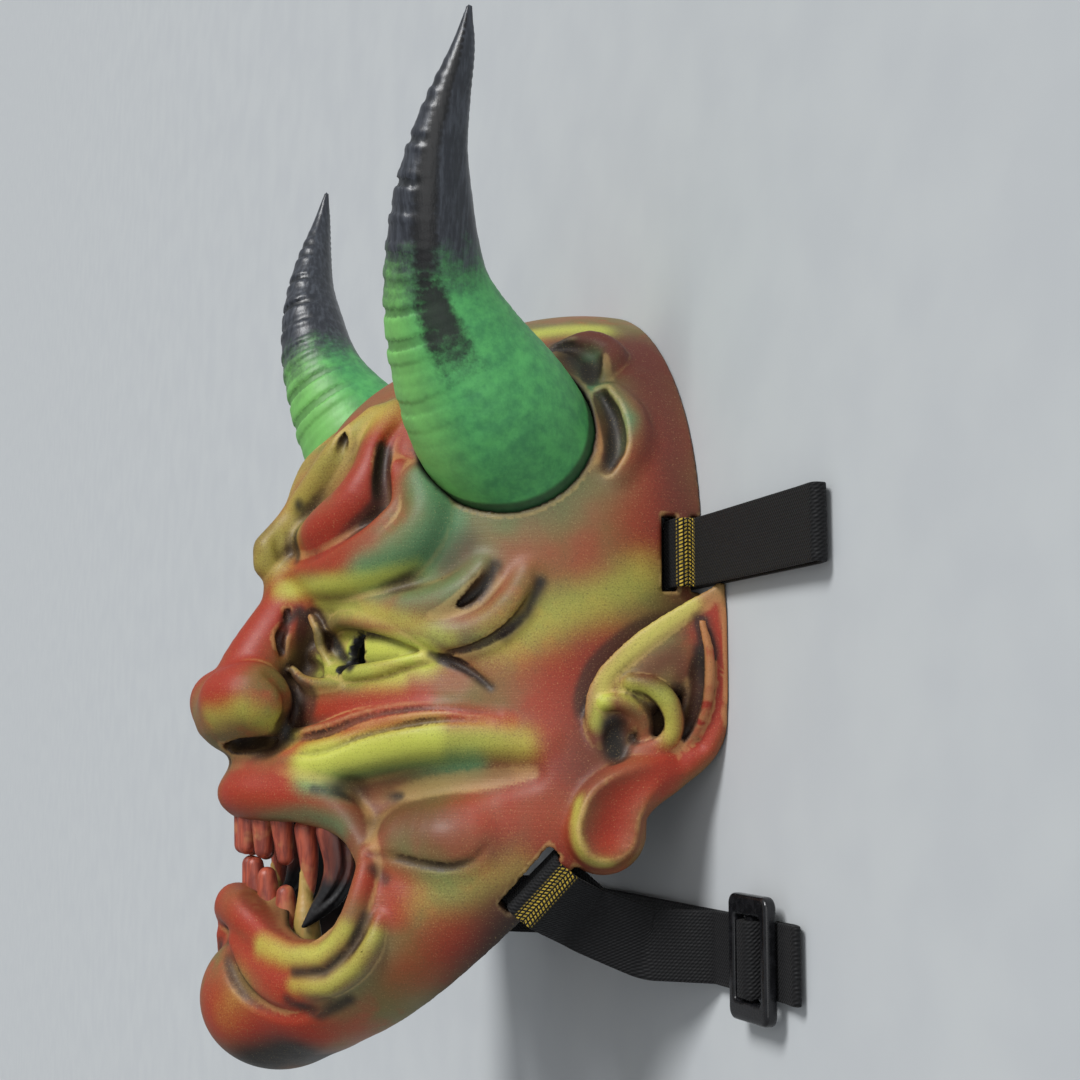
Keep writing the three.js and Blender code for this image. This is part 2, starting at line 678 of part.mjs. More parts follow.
function upperStrap() {
  const outer = upperBar.at(upperBar.outer, 0).x;
  const inner = upperBar.at(upperBar.inner, 0).x;
  const over = barLift + barWidth + clear;
  const path = [
    [-inner + tail, wrapLayer], [-inner, wrapLayer], [-inner, over], [-outer, over], [-outer, floorLayer],
    [upperFold - 6, floorLayer], [upperFold, floorLayer + 1.6], [upperFold, mainLayer + 1.2],
    [upperFold - 8, mainLayer + 0.8], [outer + 14, mainLayer],
    [outer, mainLayer], [outer, over], [inner, over], [inner, wrapLayer], [outer + tail, wrapLayer],
  ];
  const stations = path.map(([x, z]) => ({ at: new THREE.Vector3(x, upperY, z), across: upFace }));
  return band(rounded(stations, 1.6));
}

const adjusterX = lowerFold - adjusterLength / 2 - 9;
const adjusterZ = mainLayer + adjusterThickness / 2 - strapThickness / 2;
const lowerFloorY = -124 * unit;

// Stations round the lower bar on one side, from the stitched end to where the strap hangs free
function lowerWrap(side) {
  const { at, along, outer, inner } = lowerBar;
  const places = [
    [inner + 1.6, -13], [inner, -2.4], [inner, barWidth + clear],
    [outer, barWidth + clear], [outer, -2.4], [inner + 1.6 + layer, -13],
  ];
  return places.map(([s, r]) => {
    const point = at(s, r);
    point.x *= side;
    const across = along.clone();
    across.x *= side;
    return { at: point, across };
  });
}

function lowerStrap() {
  const floor = (x, z) => ({ at: new THREE.Vector3(x, lowerFloorY, z), across: upFace });
  const wrapRight = lowerWrap(-1);
  const wrapLeft = lowerWrap(1);
  const hang = (wrap, x) => {
    const across = wrap[5].across.clone().lerp(upFace, 0.6).normalize();
    return { at: new THREE.Vector3(x, lowerFloorY, 17), across };
  };
  const edge = Math.abs(wrapLeft[5].at.x);
  const bar = adjusterX;
  const window = adjusterRail / 2 + (adjusterLength - 3 * adjusterRail) / 4;
  const overBar = adjusterZ + adjusterThickness / 2 + clear;
  const path = [
    ...wrapRight, hang(wrapRight, -edge + 8),
    floor(-edge + 22, floorLayer), floor(lowerFold - 5, floorLayer),
    floor(lowerFold, floorLayer + 1.5), floor(lowerFold, mainLayer - 0.9), floor(lowerFold - 6, wrapLayer),
    floor(bar + window, wrapLayer), floor(bar + window * 0.62, overBar),
    floor(bar - window * 0.62, overBar), floor(bar - window, wrapLayer),
    floor(edge + 18, wrapLayer), hang(wrapLeft, edge + 5),
    ...wrapLeft.reverse(),
  ];
  return band(rounded(path, 1.7));
}

// A flat frame with two windows for the strap
function adjuster() {
  const half = [adjusterLength / 2, adjusterWidth / 2];
  const corner = 3;
  const shape = new THREE.Shape();
  shape.moveTo(-half[0] + corner, -half[1]);
  shape.lineTo(half[0] - corner, -half[1]);
  shape.absarc(half[0] - corner, -half[1] + corner, corner, -Math.PI / 2, 0);
  shape.lineTo(half[0], half[1] - corner);
  shape.absarc(half[0] - corner, half[1] - corner, corner, 0, Math.PI / 2);
  shape.lineTo(-half[0] + corner, half[1]);
  shape.absarc(-half[0] + corner, half[1] - corner, corner, Math.PI / 2, Math.PI);
  shape.lineTo(-half[0], -half[1] + corner);
  shape.absarc(-half[0] + corner, -half[1] + corner, corner, Math.PI, 1.5 * Math.PI);
  const plate = new THREE.ExtrudeGeometry(shape, {
    depth: adjusterThickness, bevelEnabled: false, curveSegments: 3,
  });
  plate.translate(0, 0, -adjusterThickness / 2);
  const windowLength = (adjusterLength - 3 * adjusterRail) / 2;
  let body = solid(plate);
  for (const side of [-1, 1]) {
    const middle = (side * (adjusterRail + windowLength)) / 2;
    body = body.subtract(box([windowLength, strapWidth + 2, 3 * adjusterThickness], [middle, 0, 0]));
  }
  return geometryFrom(body);
}

// The scene graph

const skin = new THREE.MeshStandardMaterial({ color: 0x9a4a2a, roughness: 0.6, metalness: 0 });
const hornPlastic = new THREE.MeshStandardMaterial({ color: 0x2f5a3c, roughness: 0.4, metalness: 0 });
const elastic = new THREE.MeshStandardMaterial({ color: 0x141414, roughness: 0.9, metalness: 0 });
const gloss = new THREE.MeshStandardMaterial({ color: 0x101012, roughness: 0.25, metalness: 0 });

const mask = new THREE.Group();
const laidOut = new THREE.Group();
const topOfRim = firstHit(faceField, new THREE.Vector3(), upFace, 130 * unit).y;
laidOut.position.y = wall / 2 - topOfRim;
mask.add(laidOut);

function place(name, geometry, material) {
  const mesh = new THREE.Mesh(geometry, material);
  mesh.name = name;
  laidOut.add(mesh);
  return mesh;
}

const leftHorn = horn();
place("mask_shell", geometryFrom(maskShell()), skin);
place("horn_left", geometryFrom(leftHorn), hornPlastic);
place("horn_right", geometryFrom(mirrored(leftHorn)), hornPlastic);
place("strap_upper", upperStrap(), elastic);
place("strap_lower", lowerStrap(), elastic);
const buckle = place("strap_adjuster", adjuster(), gloss);
buckle.position.set(adjusterX, lowerFloorY, adjusterZ);

export default mask;
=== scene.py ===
import math
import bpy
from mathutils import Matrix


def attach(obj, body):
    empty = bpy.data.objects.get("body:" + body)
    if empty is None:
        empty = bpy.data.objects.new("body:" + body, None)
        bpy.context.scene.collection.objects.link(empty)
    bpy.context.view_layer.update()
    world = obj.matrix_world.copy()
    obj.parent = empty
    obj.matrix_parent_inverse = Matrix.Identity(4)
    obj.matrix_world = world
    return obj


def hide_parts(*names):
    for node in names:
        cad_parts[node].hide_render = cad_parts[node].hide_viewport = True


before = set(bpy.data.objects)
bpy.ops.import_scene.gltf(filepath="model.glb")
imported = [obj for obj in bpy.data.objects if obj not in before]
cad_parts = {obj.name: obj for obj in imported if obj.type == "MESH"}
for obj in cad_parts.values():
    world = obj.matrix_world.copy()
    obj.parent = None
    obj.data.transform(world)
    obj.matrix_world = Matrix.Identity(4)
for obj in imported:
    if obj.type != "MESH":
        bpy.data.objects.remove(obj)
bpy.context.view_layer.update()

from concurrent.futures import ThreadPoolExecutor

import bpy
import numpy as np
import openvdb
from mathutils import Matrix, Vector

# An oni mask lying face up: painted shell, two ringed horns, teeth, elastic straps and an adjuster.
# Shapes are drawn in millimetres, with x to the wearer's left, y up the face from between the
# eyes and z forward from the flat back rim. The right half mirrors the left.

RIM_TOP = 74.84  # height of the object's origin, on the rim, above the drawing's zero
WALL = 4.2
SOCKET_DEPTH = 2.0  # how deep a horn sits in the skin
FIT_GAP = 0.3
SKIN_STEP = 0.9  # cell of the skin's surface
TEETH_STEP = 0.55
SKIN_TRIANGLES = 190000
LEAST_WALL = 2.4  # skin left under the deepest fold
MOUTH_BACK = 60  # height behind which the mouth's opening isn't cut
CLEAR_OF = 14  # a form farther from some places than this is passed over there
SMALL = np.float32


def to_metres(points):
    return (np.asarray(points, float) - (0, RIM_TOP, 0)) / 1000


def folded(points):
    """The same places on the wearer's left side."""
    at = points.copy()
    at[:, 0] = np.abs(at[:, 0])
    return at


# Carving with distance fields

def smooth_min(a, b, soft):
    blend = np.maximum(soft - np.abs(a - b), 0) / soft
    return np.minimum(a, b) - blend * blend * soft * 0.25


def smooth_max(a, b, soft):
    return -smooth_min(-a, -b, soft)


def smooth_step(low, high, value):
    share = np.clip((value - low) / (high - low), 0, 1)
    return share * share * (3 - 2 * share)


def ellipsoid(centre, radii):
    centre = np.array(centre, SMALL)
    radii = np.array(radii, SMALL)

    def distance(points):
        a = (points - centre) / radii
        reach = np.sqrt((a * a).sum(1))
        slope = np.sqrt(((a / radii) ** 2).sum(1)) + 1e-9
        return reach * (reach - 1) / slope

    return distance, centre - radii, centre + radii


def smooth_path(points, per_span):
    """Points along a smooth curve through rows of any width."""
    rows = np.asarray(points, float)
    if len(rows) == 2:
        share = np.linspace(0, 1, per_span + 1)[:, None]
        return rows[0] * (1 - share) + rows[1] * share
    ends = np.vstack([2 * rows[0] - rows[1], rows, 2 * rows[-1] - rows[-2]])
    share = np.linspace(0, 1, per_span, endpoint=False)[:, None]
    out = []
    for a, b, c, d in zip(ends, ends[1:], ends[2:], ends[3:]):
        bend = 2 * a - 5 * b + 4 * c - d
        twist = -a + 3 * b - 3 * c + d
        out.append(0.5 * (2 * b + (c - a) * share + bend * share**2 + twist * share**3))
    out.append(rows[-1:])
    return np.vstack(out)


def roll(points, per_span=4):
    """A round roll of changing radius through points (x, y, z, radius)."""
    knots = smooth_path(points, per_span).astype(SMALL)
    knots[:, 3] = np.maximum(knots[:, 3], 0.05)

    def distance(points):
        nearest = None
        for a, b in zip(knots[:-1], knots[1:]):
            span = b[:3] - a[:3]
            away = points - a[:3]
            share = np.clip((away @ span) / (float(span @ span) + 1e-9), 0, 1)
            away = away - share[:, None] * span
            here = np.sqrt((away * away).sum(1)) - (a[3] + (b[3] - a[3]) * share)
            nearest = here if nearest is None else np.minimum(nearest, here)
        return nearest

    radius = knots[:, 3].max()
    return distance, knots[:, :3].min(0) - radius, knots[:, :3].max(0) + radius


def block(centre, axes, half):
    """A box with its own axes."""
    centre = np.array(centre, SMALL)
    axes = np.array(axes, SMALL)
    half = np.array(half, SMALL)

    def distance(points):
        away = np.abs((points - centre) @ axes.T) - half
        outside = np.sqrt((np.maximum(away, 0) ** 2).sum(1))
        return outside + np.minimum(away.max(1), 0)

    reach = float(np.linalg.norm(half))
    return distance, centre - reach, centre + reach


class Carving:
    """Forms added to or cut from what comes before them, each blended over its softness."""

    def __init__(self, rows, clear_of=CLEAR_OF):
        self.rows = rows
        self.clear_of = clear_of

    def __call__(self, points, before=None):
        at = folded(points)
        low = at.min(0)
        high = at.max(0)
        result = np.full(len(at), 1e3, SMALL) if before is None else before
        for mode, soft, (shape, shape_low, shape_high) in self.rows:
            margin = soft + self.clear_of
            if np.any(low > shape_high + margin) or np.any(high < shape_low - margin):
                continue
            here = shape(at)
            if mode == "add":
                result = smooth_min(result, here, soft)
            else:
                result = smooth_max(result, -here, soft)
        return result


def rolls(rows):
    return [(mode, soft, roll(points)) for mode, soft, points in rows]


# The bald head form, without folds
HEAD = [
    ("add", 1, ellipsoid((0, -10, 5), (84, 85, 86))),
    ("add", 14, ellipsoid((0, -58, 14), (83, 86, 84))),
    ("add", 16, ellipsoid((0, 4, 58), (42, 44, 39))),
    ("add", 24, roll([(60, -92, 28, 28), (42, -116, 68, 25), (22, -136, 96, 22)])),
    ("add", 20, ellipsoid((0, -92, 84), (33, 38, 31))),
    ("add", 10, ellipsoid((0, -144, 104), (25, 22, 25))),
]

NOSE = [
    ("add", 9, roll([(0, -14, 92, 11), (0, -31, 105.5, 10.5), (0, -45.5, 113.5, 12),
        (0, -56, 115, 14.5)])),
    ("add", 6, ellipsoid((0, -59, 117), (15, 11.5, 15.5))),
    ("add", 4, roll([(9, -54.5, 123, 10), (15, -54, 118.5, 11), (18, -55, 115.5, 9)])),
    ("add", 6, roll([(0, -68, 112, 7), (0, -77, 113, 6)])),
    ("cut", 1.5, roll([(6, -67, 121, 3.4), (11, -66.5, 117, 4.2), (14, -67, 113, 3.4)])),
    ("cut", 1.5, roll([(11, -66, 117, 4), (10, -59.5, 114, 3.6), (9, -54.5, 109.5, 3)])),
    ("add", 2, roll([(5, -62.5, 127.5, 3), (13, -62, 122.5, 3.4), (18, -62, 115.5, 3.4),
        (18.5, -63, 109.5, 3)])),
    ("cut", 3, roll([(24, -46.5, 114, 1.4), (24, -52, 109, 2.2), (23, -58.5, 108, 2.2),
        (21, -66, 109.5, 1.8)])),
]

BROW = rolls([
    # heavy roll over the eyes and the rim along its top
    ("add", 4, [(0, -17.5, 104, 8), (1, -16, 96.5, 9), (24, -16.5, 92, 9), (39.5, -13.5, 83.5, 9),
        (47.5, -8, 76.5, 8.5), (49.5, 0, 73, 8), (46, 8.5, 74, 7)]),
    ("add", 3, [(0, -12, 111.5, 4), (0, -7, 109, 4), (0, -12, 106, 3.4), (14.5, -14.5, 100.5, 3.4),
        (33, -10.5, 93, 3.4), (42.5, -4.5, 86, 3.4), (44.5, 3, 81, 3), (40.5, 14, 79.5, 3)]),
    # tongue of skin falling between the horns, the ridge in the middle and the grooves beside them
    ("add", 5, [(4.5, -4, 99, 5), (21, -2.5, 96, 8), (31, 4.5, 90, 8), (33, 13, 86, 7), (30, 23.5, 82.5, 6),
        (27, 33, 77, 5)]),
    ("add", 4, [(0, -6.5, 110.5, 5), (0, 4.5, 102, 5), (11, 15, 96.5, 5), (17.5, 23.5, 92, 4.5),
        (23, 32.5, 83, 4)]),
    ("cut", 1.5, [(36, 29, 79, 1.1), (37, 22.5, 83, 1.7), (40, 12.5, 85, 2.1), (42.5, 4, 85, 2.4)]),
    ("cut", 1.5, [(20.5, 28, 91, 0.8), (21.5, 24, 93, 1.6), (22, 19, 95, 1.8), (21, 14, 97, 1)]),
    ("cut", 2, [(9, 1, 106, 0.8), (6, -5, 109.5, 1.2), (8, -11, 107, 1.2), (18, -11.5, 103.5, 1.2),
        (30.5, -9, 99, 0.9), (40.5, -0.5, 90.5, 1)]),
])

# Two folds over the eye, each with a slit above its outer end
LID_FOLDS = rolls([
    ("add", 4, [(0, -22.5, 98.5, 4), (23, -26, 90.5, 4.5), (42, -28.5, 82, 5.5), (55, -28.5, 73, 6),
        (61.5, -24.5, 66, 5.5), (64, -18.5, 60.5, 4)]),
    ("cut", 1.2, [(68, -14, 60, 0.8), (69, -18, 60, 1.7), (67, -23.5, 63, 1.9), (63.5, -28, 68, 1.4),
        (58.5, -31, 73.5, 0.6)]),
    ("add", 4, [(25.5, -30, 89, 3), (46.5, -34, 80, 4.5), (60, -37, 69.5, 5.5), (67.5, -34, 59.5, 5.5),
        (71, -27, 53.5, 5), (71, -20, 49.5, 3.5)]),
    ("cut", 1.2, [(75.5, -18.5, 48.5, 0.8), (76.5, -23.5, 48.5, 1.7), (75, -30.5, 52, 1.8),
        (72, -36, 57.5, 1.4), (68, -40, 64, 1), (62, -41.8, 71, 0.6)]),
])

# Wrinkles at the root of the nose
NOSE_ROOT = rolls([
    ("add", 2, [(0, -32.5, 111.5, 4), (0, -29, 105.5, 4), (0, -27.5, 97, 3.5), (18, -30, 93.5, 3)]),
    ("add", 1.5, [(0, -40, 108.5, 3), (0, -35, 103, 3), (3, -38, 97.5, 2.8), (19.5, -43.5, 94.5, 2.4)]),
    ("cut", 1.2, [(9, -27, 106.5, 1), (10.5, -31, 107, 1.5), (9, -36, 109, 1.5), (11, -41, 108, 0.9)]),
    ("cut", 1.2, [(14, -34, 101.5, 1), (13, -38, 102.5, 1.6), (15, -43, 102, 1.6), (18, -46, 101, 0.9)]),
    ("add", 1.2, [(14, -29, 100, 1.4), (17, -33, 98.5, 1.8), (17, -38, 97.5, 1.8), (20, -42, 95.5, 1.4)]),
    ("cut", 1, [(17, -29.5, 99, 0.8), (20.5, -33.5, 96, 1.3), (20, -38.5, 95.5, 1.3)]),
    ("add", 0.8, [(11, -45, 105, 1.4), (15, -48.5, 102.5, 1.8), (22, -50, 98, 1.6), (30, -50, 94, 1)]),
])

# Cheekbone, the long pad under it with its rim and two creases, and the hollow below
CHEEK = rolls([
    ("add", 6, [(7, -57.5, 96.5, 8.5), (26.5, -57, 86, 10), (44, -56, 74, 10), (57, -58, 62, 9)]),
    ("add", 4, [(21, -74, 103.5, 7), (30, -73, 97.5, 8), (40, -69.5, 88, 8), (55, -66, 74.5, 7.5),
        (67.5, -66, 58.5, 6), (75.5, -68.5, 45, 4)]),
    ("add", 2, [(17.5, -66.5, 106, 3.2), (28, -65, 100, 3.4), (41, -61, 89.5, 3.4), (58, -59, 75, 3.2),
        (70, -61, 57, 2.5)]),
    ("cut", 1.2, [(22, -66, 108, 1), (28.5, -65.5, 103.5, 1.2), (35.5, -64, 98.5, 1.2),
        (43, -60.5, 92, 1.2), (51.5, -58.5, 85, 1.1), (63, -57.5, 73.5, 1), (72.5, -59.5, 58.5, 0.7)]),
    ("cut", 1.2, [(26, -70, 108, 1), (33.5, -70.5, 104, 1.1), (39.5, -69, 99, 1.1), (46, -65.5, 92, 1.1),
        (54.5, -63, 84, 1), (64.5, -61, 72.5, 0.9), (72, -61.5, 61.5, 0.6)]),
    ("cut", 6, [(20, -77, 110.5, 1.4), (29, -80.5, 105, 2.4), (39, -83.5, 95.5, 3.6), (51, -82, 83.5, 3.8),
        (67, -78.5, 69.5, 3.4), (80, -75.5, 52.5, 2)]),
])

EYE = rolls([
    ("cut", 2, [(23.5, -38.5, 95.5, 4.5), (35, -39, 91, 6), (44, -40, 86, 5.5), (51.5, -40.5, 81, 3.6),
        (57, -42, 76, 1.8)]),
    ("add", 0.6, [(25, -40.5, 82, 9.5), (36, -40.5, 77.5, 9.6), (44, -41.5, 73, 8.6)]),
    ("add", 1.2, [(12, -34, 94, 2.2), (27, -30.5, 93, 2.6), (40, -32.5, 87.5, 2.6),
        (50.5, -36.5, 80.5, 2.2), (58.5, -42, 72, 1.4)]),
    ("add", 1.2, [(19.5, -46, 95, 2), (32.5, -47, 92, 2.6), (44.5, -46, 86, 2.4), (53, -43.5, 78.5, 1.8),
        (59, -42.5, 72, 1.2)]),
    ("cut", 1.2, [(58, -42.5, 75.5, 1), (61, -44, 69.5, 1.2), (65, -47, 65, 1.1), (69, -51.5, 60.5, 0.7)]),
])

# Lips drawn back in a snarl, the ridge outside them, the chin crease and the smile line
MOUTH_FOLDS = rolls([
    ("add", 6, [(0, -75.5, 113.5, 6.5), (12, -76, 110.5, 6.5), (22, -77.5, 104, 6), (31, -80, 97, 5)]),
    ("add", 4, [(0, -82.5, 118.5, 6.8), (9, -82.5, 116, 7), (19, -83, 109, 6.8), (29, -83.5, 101.5, 6.2),
        (36.5, -88, 95, 4.8), (41.5, -94, 91.5, 4), (46, -100, 89.5, 3.4)]),
    ("add", 3, [(0, -86.5, 115.5, 5), (9, -86.5, 113.8, 5), (19, -87, 107, 4.8), (28.5, -87.5, 100, 4.4),
        (35.5, -91, 93.5, 3.6)]),
    ("cut", 2, [(0, -77, 126, 0.9), (0, -73, 122.6, 1)]),
    ("add", 4, [(10, -127, 117.5, 5.5), (20, -133, 113.5, 5.5), (31, -137, 108.5, 5.5),
        (40, -136, 103, 4.5)]),
    ("add", 2.5, [(0, -116.5, 118.5, 6.8), (9, -118.5, 117.2, 6.6), (17, -122.8, 114, 6),
        (26, -126.8, 111, 5.4), (36, -129.2, 107, 4.8), (44, -128.8, 102.8, 4.2), (49, -125, 98.8, 3.8),
        (51.7, -117, 95.3, 3.6), (51.7, -108, 92.3, 3.4), (48.7, -100, 89.6, 3.2)]),
    ("add", 2.5, [(33, -134.5, 110, 1.8), (41, -136, 106, 2.8), (47.5, -135.5, 100.7, 3.4),
        (52.5, -131, 95, 3.4), (56.7, -124.5, 91, 3), (57.2, -117.5, 88.5, 2)]),
    ("cut", 2.5, [(0, -124.5, 124, 1.8), (8, -129, 123.5, 2), (17, -136.5, 121.5, 2), (26, -141.8, 118, 2),
        (34, -144.8, 112.6, 1.8), (40, -144.5, 107, 1.6), (45, -141, 100.5, 1.2)]),
    ("add", 6, [(52, -96, 79, 8), (61.5, -95.5, 70, 10), (66.5, -94, 64, 8)]),
    ("cut", 1.2, [(51.5, -99, 91.5, 1), (59, -100, 84, 1.1), (65.5, -101.5, 78.5, 1.2),
        (70.5, -102, 72, 1.2), (74, -100, 66.5, 1), (76, -96.5, 63.5, 0.6)]),
])

# Swollen skin behind each horn, and the grooves between it and the horn
HORN_SEAT = rolls([
    ("add", 4, [(68.5, 34.5, 22, 4.5), (73.5, 27.5, 19, 5.5), (76.5, 19, 19.5, 5), (77, 10.5, 24, 4)]),
    ("cut", 2, [(69.5, 35, 26, 2), (74, 27.5, 24.5, 3), (78, 18.5, 25, 3), (79, 12, 28, 2)]),
    ("add", 3, [(50.5, 51, 32, 4), (52, 54.5, 22.5, 4.5), (58, 50, 17.5, 4.5), (62.5, 44, 23.5, 4)]),
    ("cut", 2, [(50, 52.5, 35.5, 1.4), (54.5, 53, 29.5, 2.2), (60, 49, 25.5, 3), (65, 42.5, 27.5, 3)]),
])

EAR_PLATE = rolls([
    ("add", 2, [(84, -64, 29, 5), (86, -55.5, 21, 5.5), (90, -47, 12, 5), (93, -38.5, 5.5, 4)]),
    ("add", 4, [(86, -74, 18, 5), (90.5, -64, 8, 5), (93, -53, 5, 5), (95, -39, 4.5, 4.5)]),
    ("add", 4, [(86, -53, 26, 5), (90, -44.5, 16.5, 5), (94, -33, 6, 3.5)]),
    ("add", 3, [(93, -42, 6, 4), (96, -35, 4, 3.4), (98, -28.5, 3, 2.4)]),
    # front edge up to the tip, back edge and lobe
    ("add", 2, [(84.5, -66.5, 32.5, 3.4), (85.5, -60, 34.5, 3.2), (87, -53.5, 34.5, 3.2),
        (89, -46.5, 31, 3.2), (92, -38, 21, 3.2), (96.5, -30, 9.5, 2.8), (99.5, -24, 2, 1.4)]),
    ("add", 2, [(99.5, -24, 2, 1.4), (99, -34.5, 2, 2.8), (98.5, -46, 2, 3.4), (97, -58.5, 2, 3.8),
        (94, -69, 5, 4), (90, -76, 12, 4.2), (87, -79.5, 18.5, 4.6)]),
    ("add", 4, [(87, -76.5, 17, 6), (86, -80.5, 24.5, 8.5), (84, -86, 30.5, 11), (83, -92, 31.5, 12.3)]),
])

EAR_CARVING = rolls([
    # lobe standing proud of the cheek, with a shallow dish
    ("add", 3, [(89, -75, 17, 5.4), (89.5, -79.5, 25, 7.4), (88.5, -85.5, 31.5, 9.6),
        (87.5, -92, 33.5, 10.6)]),
    ("cut", 1.2, [(102.5, -74, 17, 7.4), (103.5, -79.5, 27, 9.8), (104.3, -86, 33.5, 12.6),
        (104.3, -91, 35, 13.4)]),
    ("cut", 1.5, [(96, -48, 25.5, 3), (99, -47, 19, 5), (101, -43.5, 13, 4)]),
    ("cut", 1, [(99, -40.5, 9.5, 1.6), (98, -48, 8.5, 3), (96.5, -56, 8.5, 3.2), (93, -63.5, 9.5, 2.8),
        (91, -67.5, 13, 1.8)]),
    ("cut", 1.5, [(103.5, -39.5, 5.5, 2.4), (103, -50.5, 4.5, 3.2), (101.5, -59, 5, 3.2),
        (98, -67.5, 8.5, 3)]),
    ("add", 0.8, [(99.5, -34, 8, 1), (100, -43.5, 6, 1.5), (98.5, -55.5, 6, 1.6), (95, -64.5, 8, 1.6),
        (91.5, -71.5, 12, 1.6)]),
    ("add", 1, [(90, -51, 25.5, 2.6), (92.5, -52, 20.5, 3), (94, -56.5, 16, 3.2), (93, -63, 14, 3.2),
        (90.5, -68.5, 17, 3.2), (87, -71, 24, 3)]),
    ("cut", 0.8, [(93, -53, 29.5, 1.2), (93, -56, 24, 2), (92, -61, 19, 2.2), (90, -65.5, 17, 1.4)]),
    ("add", 1, [(87, -56.5, 32.5, 2.4), (89, -56.5, 27.5, 2.8), (89, -60, 22, 2.8), (87, -67, 20, 2.6)]),
    ("cut", 1, [(91, -62, 29.5, 3.4), (89.5, -66.5, 29, 4.6), (88, -70, 30, 3.6)]),
])

head = Carving(HEAD)
face = Carving(HEAD + NOSE + BROW + LID_FOLDS + NOSE_ROOT + CHEEK + EYE + MOUTH_FOLDS + HORN_SEAT)
ear_plate = Carving(EAR_PLATE)
ear_relief = Carving(EAR_CARVING, 4)
EAR_LEAN = np.array([1, 0, 0.4], SMALL) / math.hypot(1, 0.4)  # the ears swing outwards towards the rim
EAR_FACE = float(EAR_LEAN @ np.array([92.5, -60, 20], SMALL))


def ear(points):
    """The swung-out ear: a plate cut flat on its outer side, then carved."""
    at = folded(points)
    plate = smooth_max(ear_plate(at), at @ EAR_LEAN - EAR_FACE, 2)
    return ear_relief(at, plate)


def polygon_distance(x, y, corners):
    """Signed distance to a polygon in the plane."""
    nearest = np.full(len(x), 1e9, SMALL)
    sign = np.ones(len(x), SMALL)
    for a, b in zip(corners, np.roll(corners, 1, 0)):
        edge = (b - a).astype(SMALL)
        away_x = x - SMALL(a[0])
        away_y = y - SMALL(a[1])
        share = np.clip((away_x * edge[0] + away_y * edge[1]) / (edge @ edge), 0, 1)
        gap_x = away_x - edge[0] * share
        gap_y = away_y - edge[1] * share
        nearest = np.minimum(nearest, gap_x * gap_x + gap_y * gap_y)
        above = y >= a[1]
        below = y < b[1]
        left = edge[0] * away_y > edge[1] * away_x
        sign = np.where((above & below & left) | ~(above | below | left), -sign, sign)
    return sign * np.sqrt(nearest)


MOUTH_HALF = np.array([
    (0, -91), (12, -91), (24, -91), (33, -93.5), (40, -97.5), (45, -103), (47, -110), (46, -119),
    (42, -123.5), (36, -123.5), (26, -120.5), (17, -115.5), (9, -110.5), (0, -108.5),
], float)
MOUTH = np.vstack([MOUTH_HALF, MOUTH_HALF[1:-1][::-1] * (-1, 1)])


def pupil(points):
    """The upright see-through slit of each eye, with ragged sides."""
    x = np.abs(points[:, 0])
    up = (points[:, 1] + 41) / 6
    ragged = 0.5 * np.sin(up * 9) + 0.4 * np.sin(up * 17 + 1)
    width = 3.6 * np.sqrt(np.maximum(1 - up * up, 0)) + ragged * np.maximum(1 - np.abs(up), 0)
    side = np.abs(x - 30.5) - width
    ends = (np.abs(up) - 1) * 6
    return np.maximum(np.maximum(side, ends), 40 - points[:, 2])


def rim_cut(points):
    """The flat rim that the mask lies on, turning up into the jaw line."""
    back = -points[:, 2]
    slope = np.array([0, -0.8, -1], SMALL) / math.hypot(0.8, 1)
    jaw = points @ slope - float(slope @ np.array([0, -104, 42], SMALL))
    return smooth_max(back, jaw, 16)


# Horns: points along the middle line with radii
HORN = [
    (53.5, 18, 45, 25), (58, 29, 56, 25.5), (63, 45, 68, 20.5), (67.5, 60, 76, 15.8), (73, 73, 79.6, 13.2),
    (77.4, 86.5, 81, 11), (81.6, 100, 81, 8.3), (85.3, 113.6, 79, 6), (88.7, 127.5, 76, 3.3),
    (89.2, 140.5, 74, 0.8),
]
HORN_LINE = smooth_path(HORN, 6)
HORN_RUN = np.concatenate([[0], np.cumsum(np.linalg.norm(np.diff(HORN_LINE[:, :3], axis=0), axis=1))])
HORN_FRONT = np.array([-0.35, -0.2, 1])
RING_PITCH = 8.2


def along_horn(points):
    """Distance from the horn's middle line, its radius there, the run along it and how far forward."""
    best = np.full(len(points), 1e9)
    gap = np.zeros(len(points))
    radius = np.ones(len(points))
    run = np.zeros(len(points))
    away_best = np.zeros((len(points), 3))
    for i in range(len(HORN_LINE) - 1):
        a = HORN_LINE[i]
        b = HORN_LINE[i + 1]
        span = b[:3] - a[:3]
        away = points - a[:3]
        share = np.clip(away @ span / (span @ span), 0, 1)
        away = away - share[:, None] * span
        reach = np.sqrt((away * away).sum(1))
        here = a[3] + (b[3] - a[3]) * share
        closer = reach - here < best
        best = np.where(closer, reach - here, best)
        gap = np.where(closer, reach, gap)
        radius = np.where(closer, here, radius)
        run = np.where(closer, HORN_RUN[i] + share * (HORN_RUN[i + 1] - HORN_RUN[i]), run)
        away_best = np.where(closer[:, None], away, away_best)
    towards = HORN_FRONT / np.linalg.norm(HORN_FRONT)
    forward = (away_best @ towards) / np.maximum(gap, 0.1)
    outward = away_best[:, 0] / np.maximum(gap, 0.1)
    return gap, radius, run, forward, outward


def ring_phase(run):
    """0 in the valley between two growth rings, 1 on a ring, with the rings closer near the tip."""
    count = run / (RING_PITCH * (1.18 - 0.0027 * run))
    return np.abs(np.sin(math.pi * count))


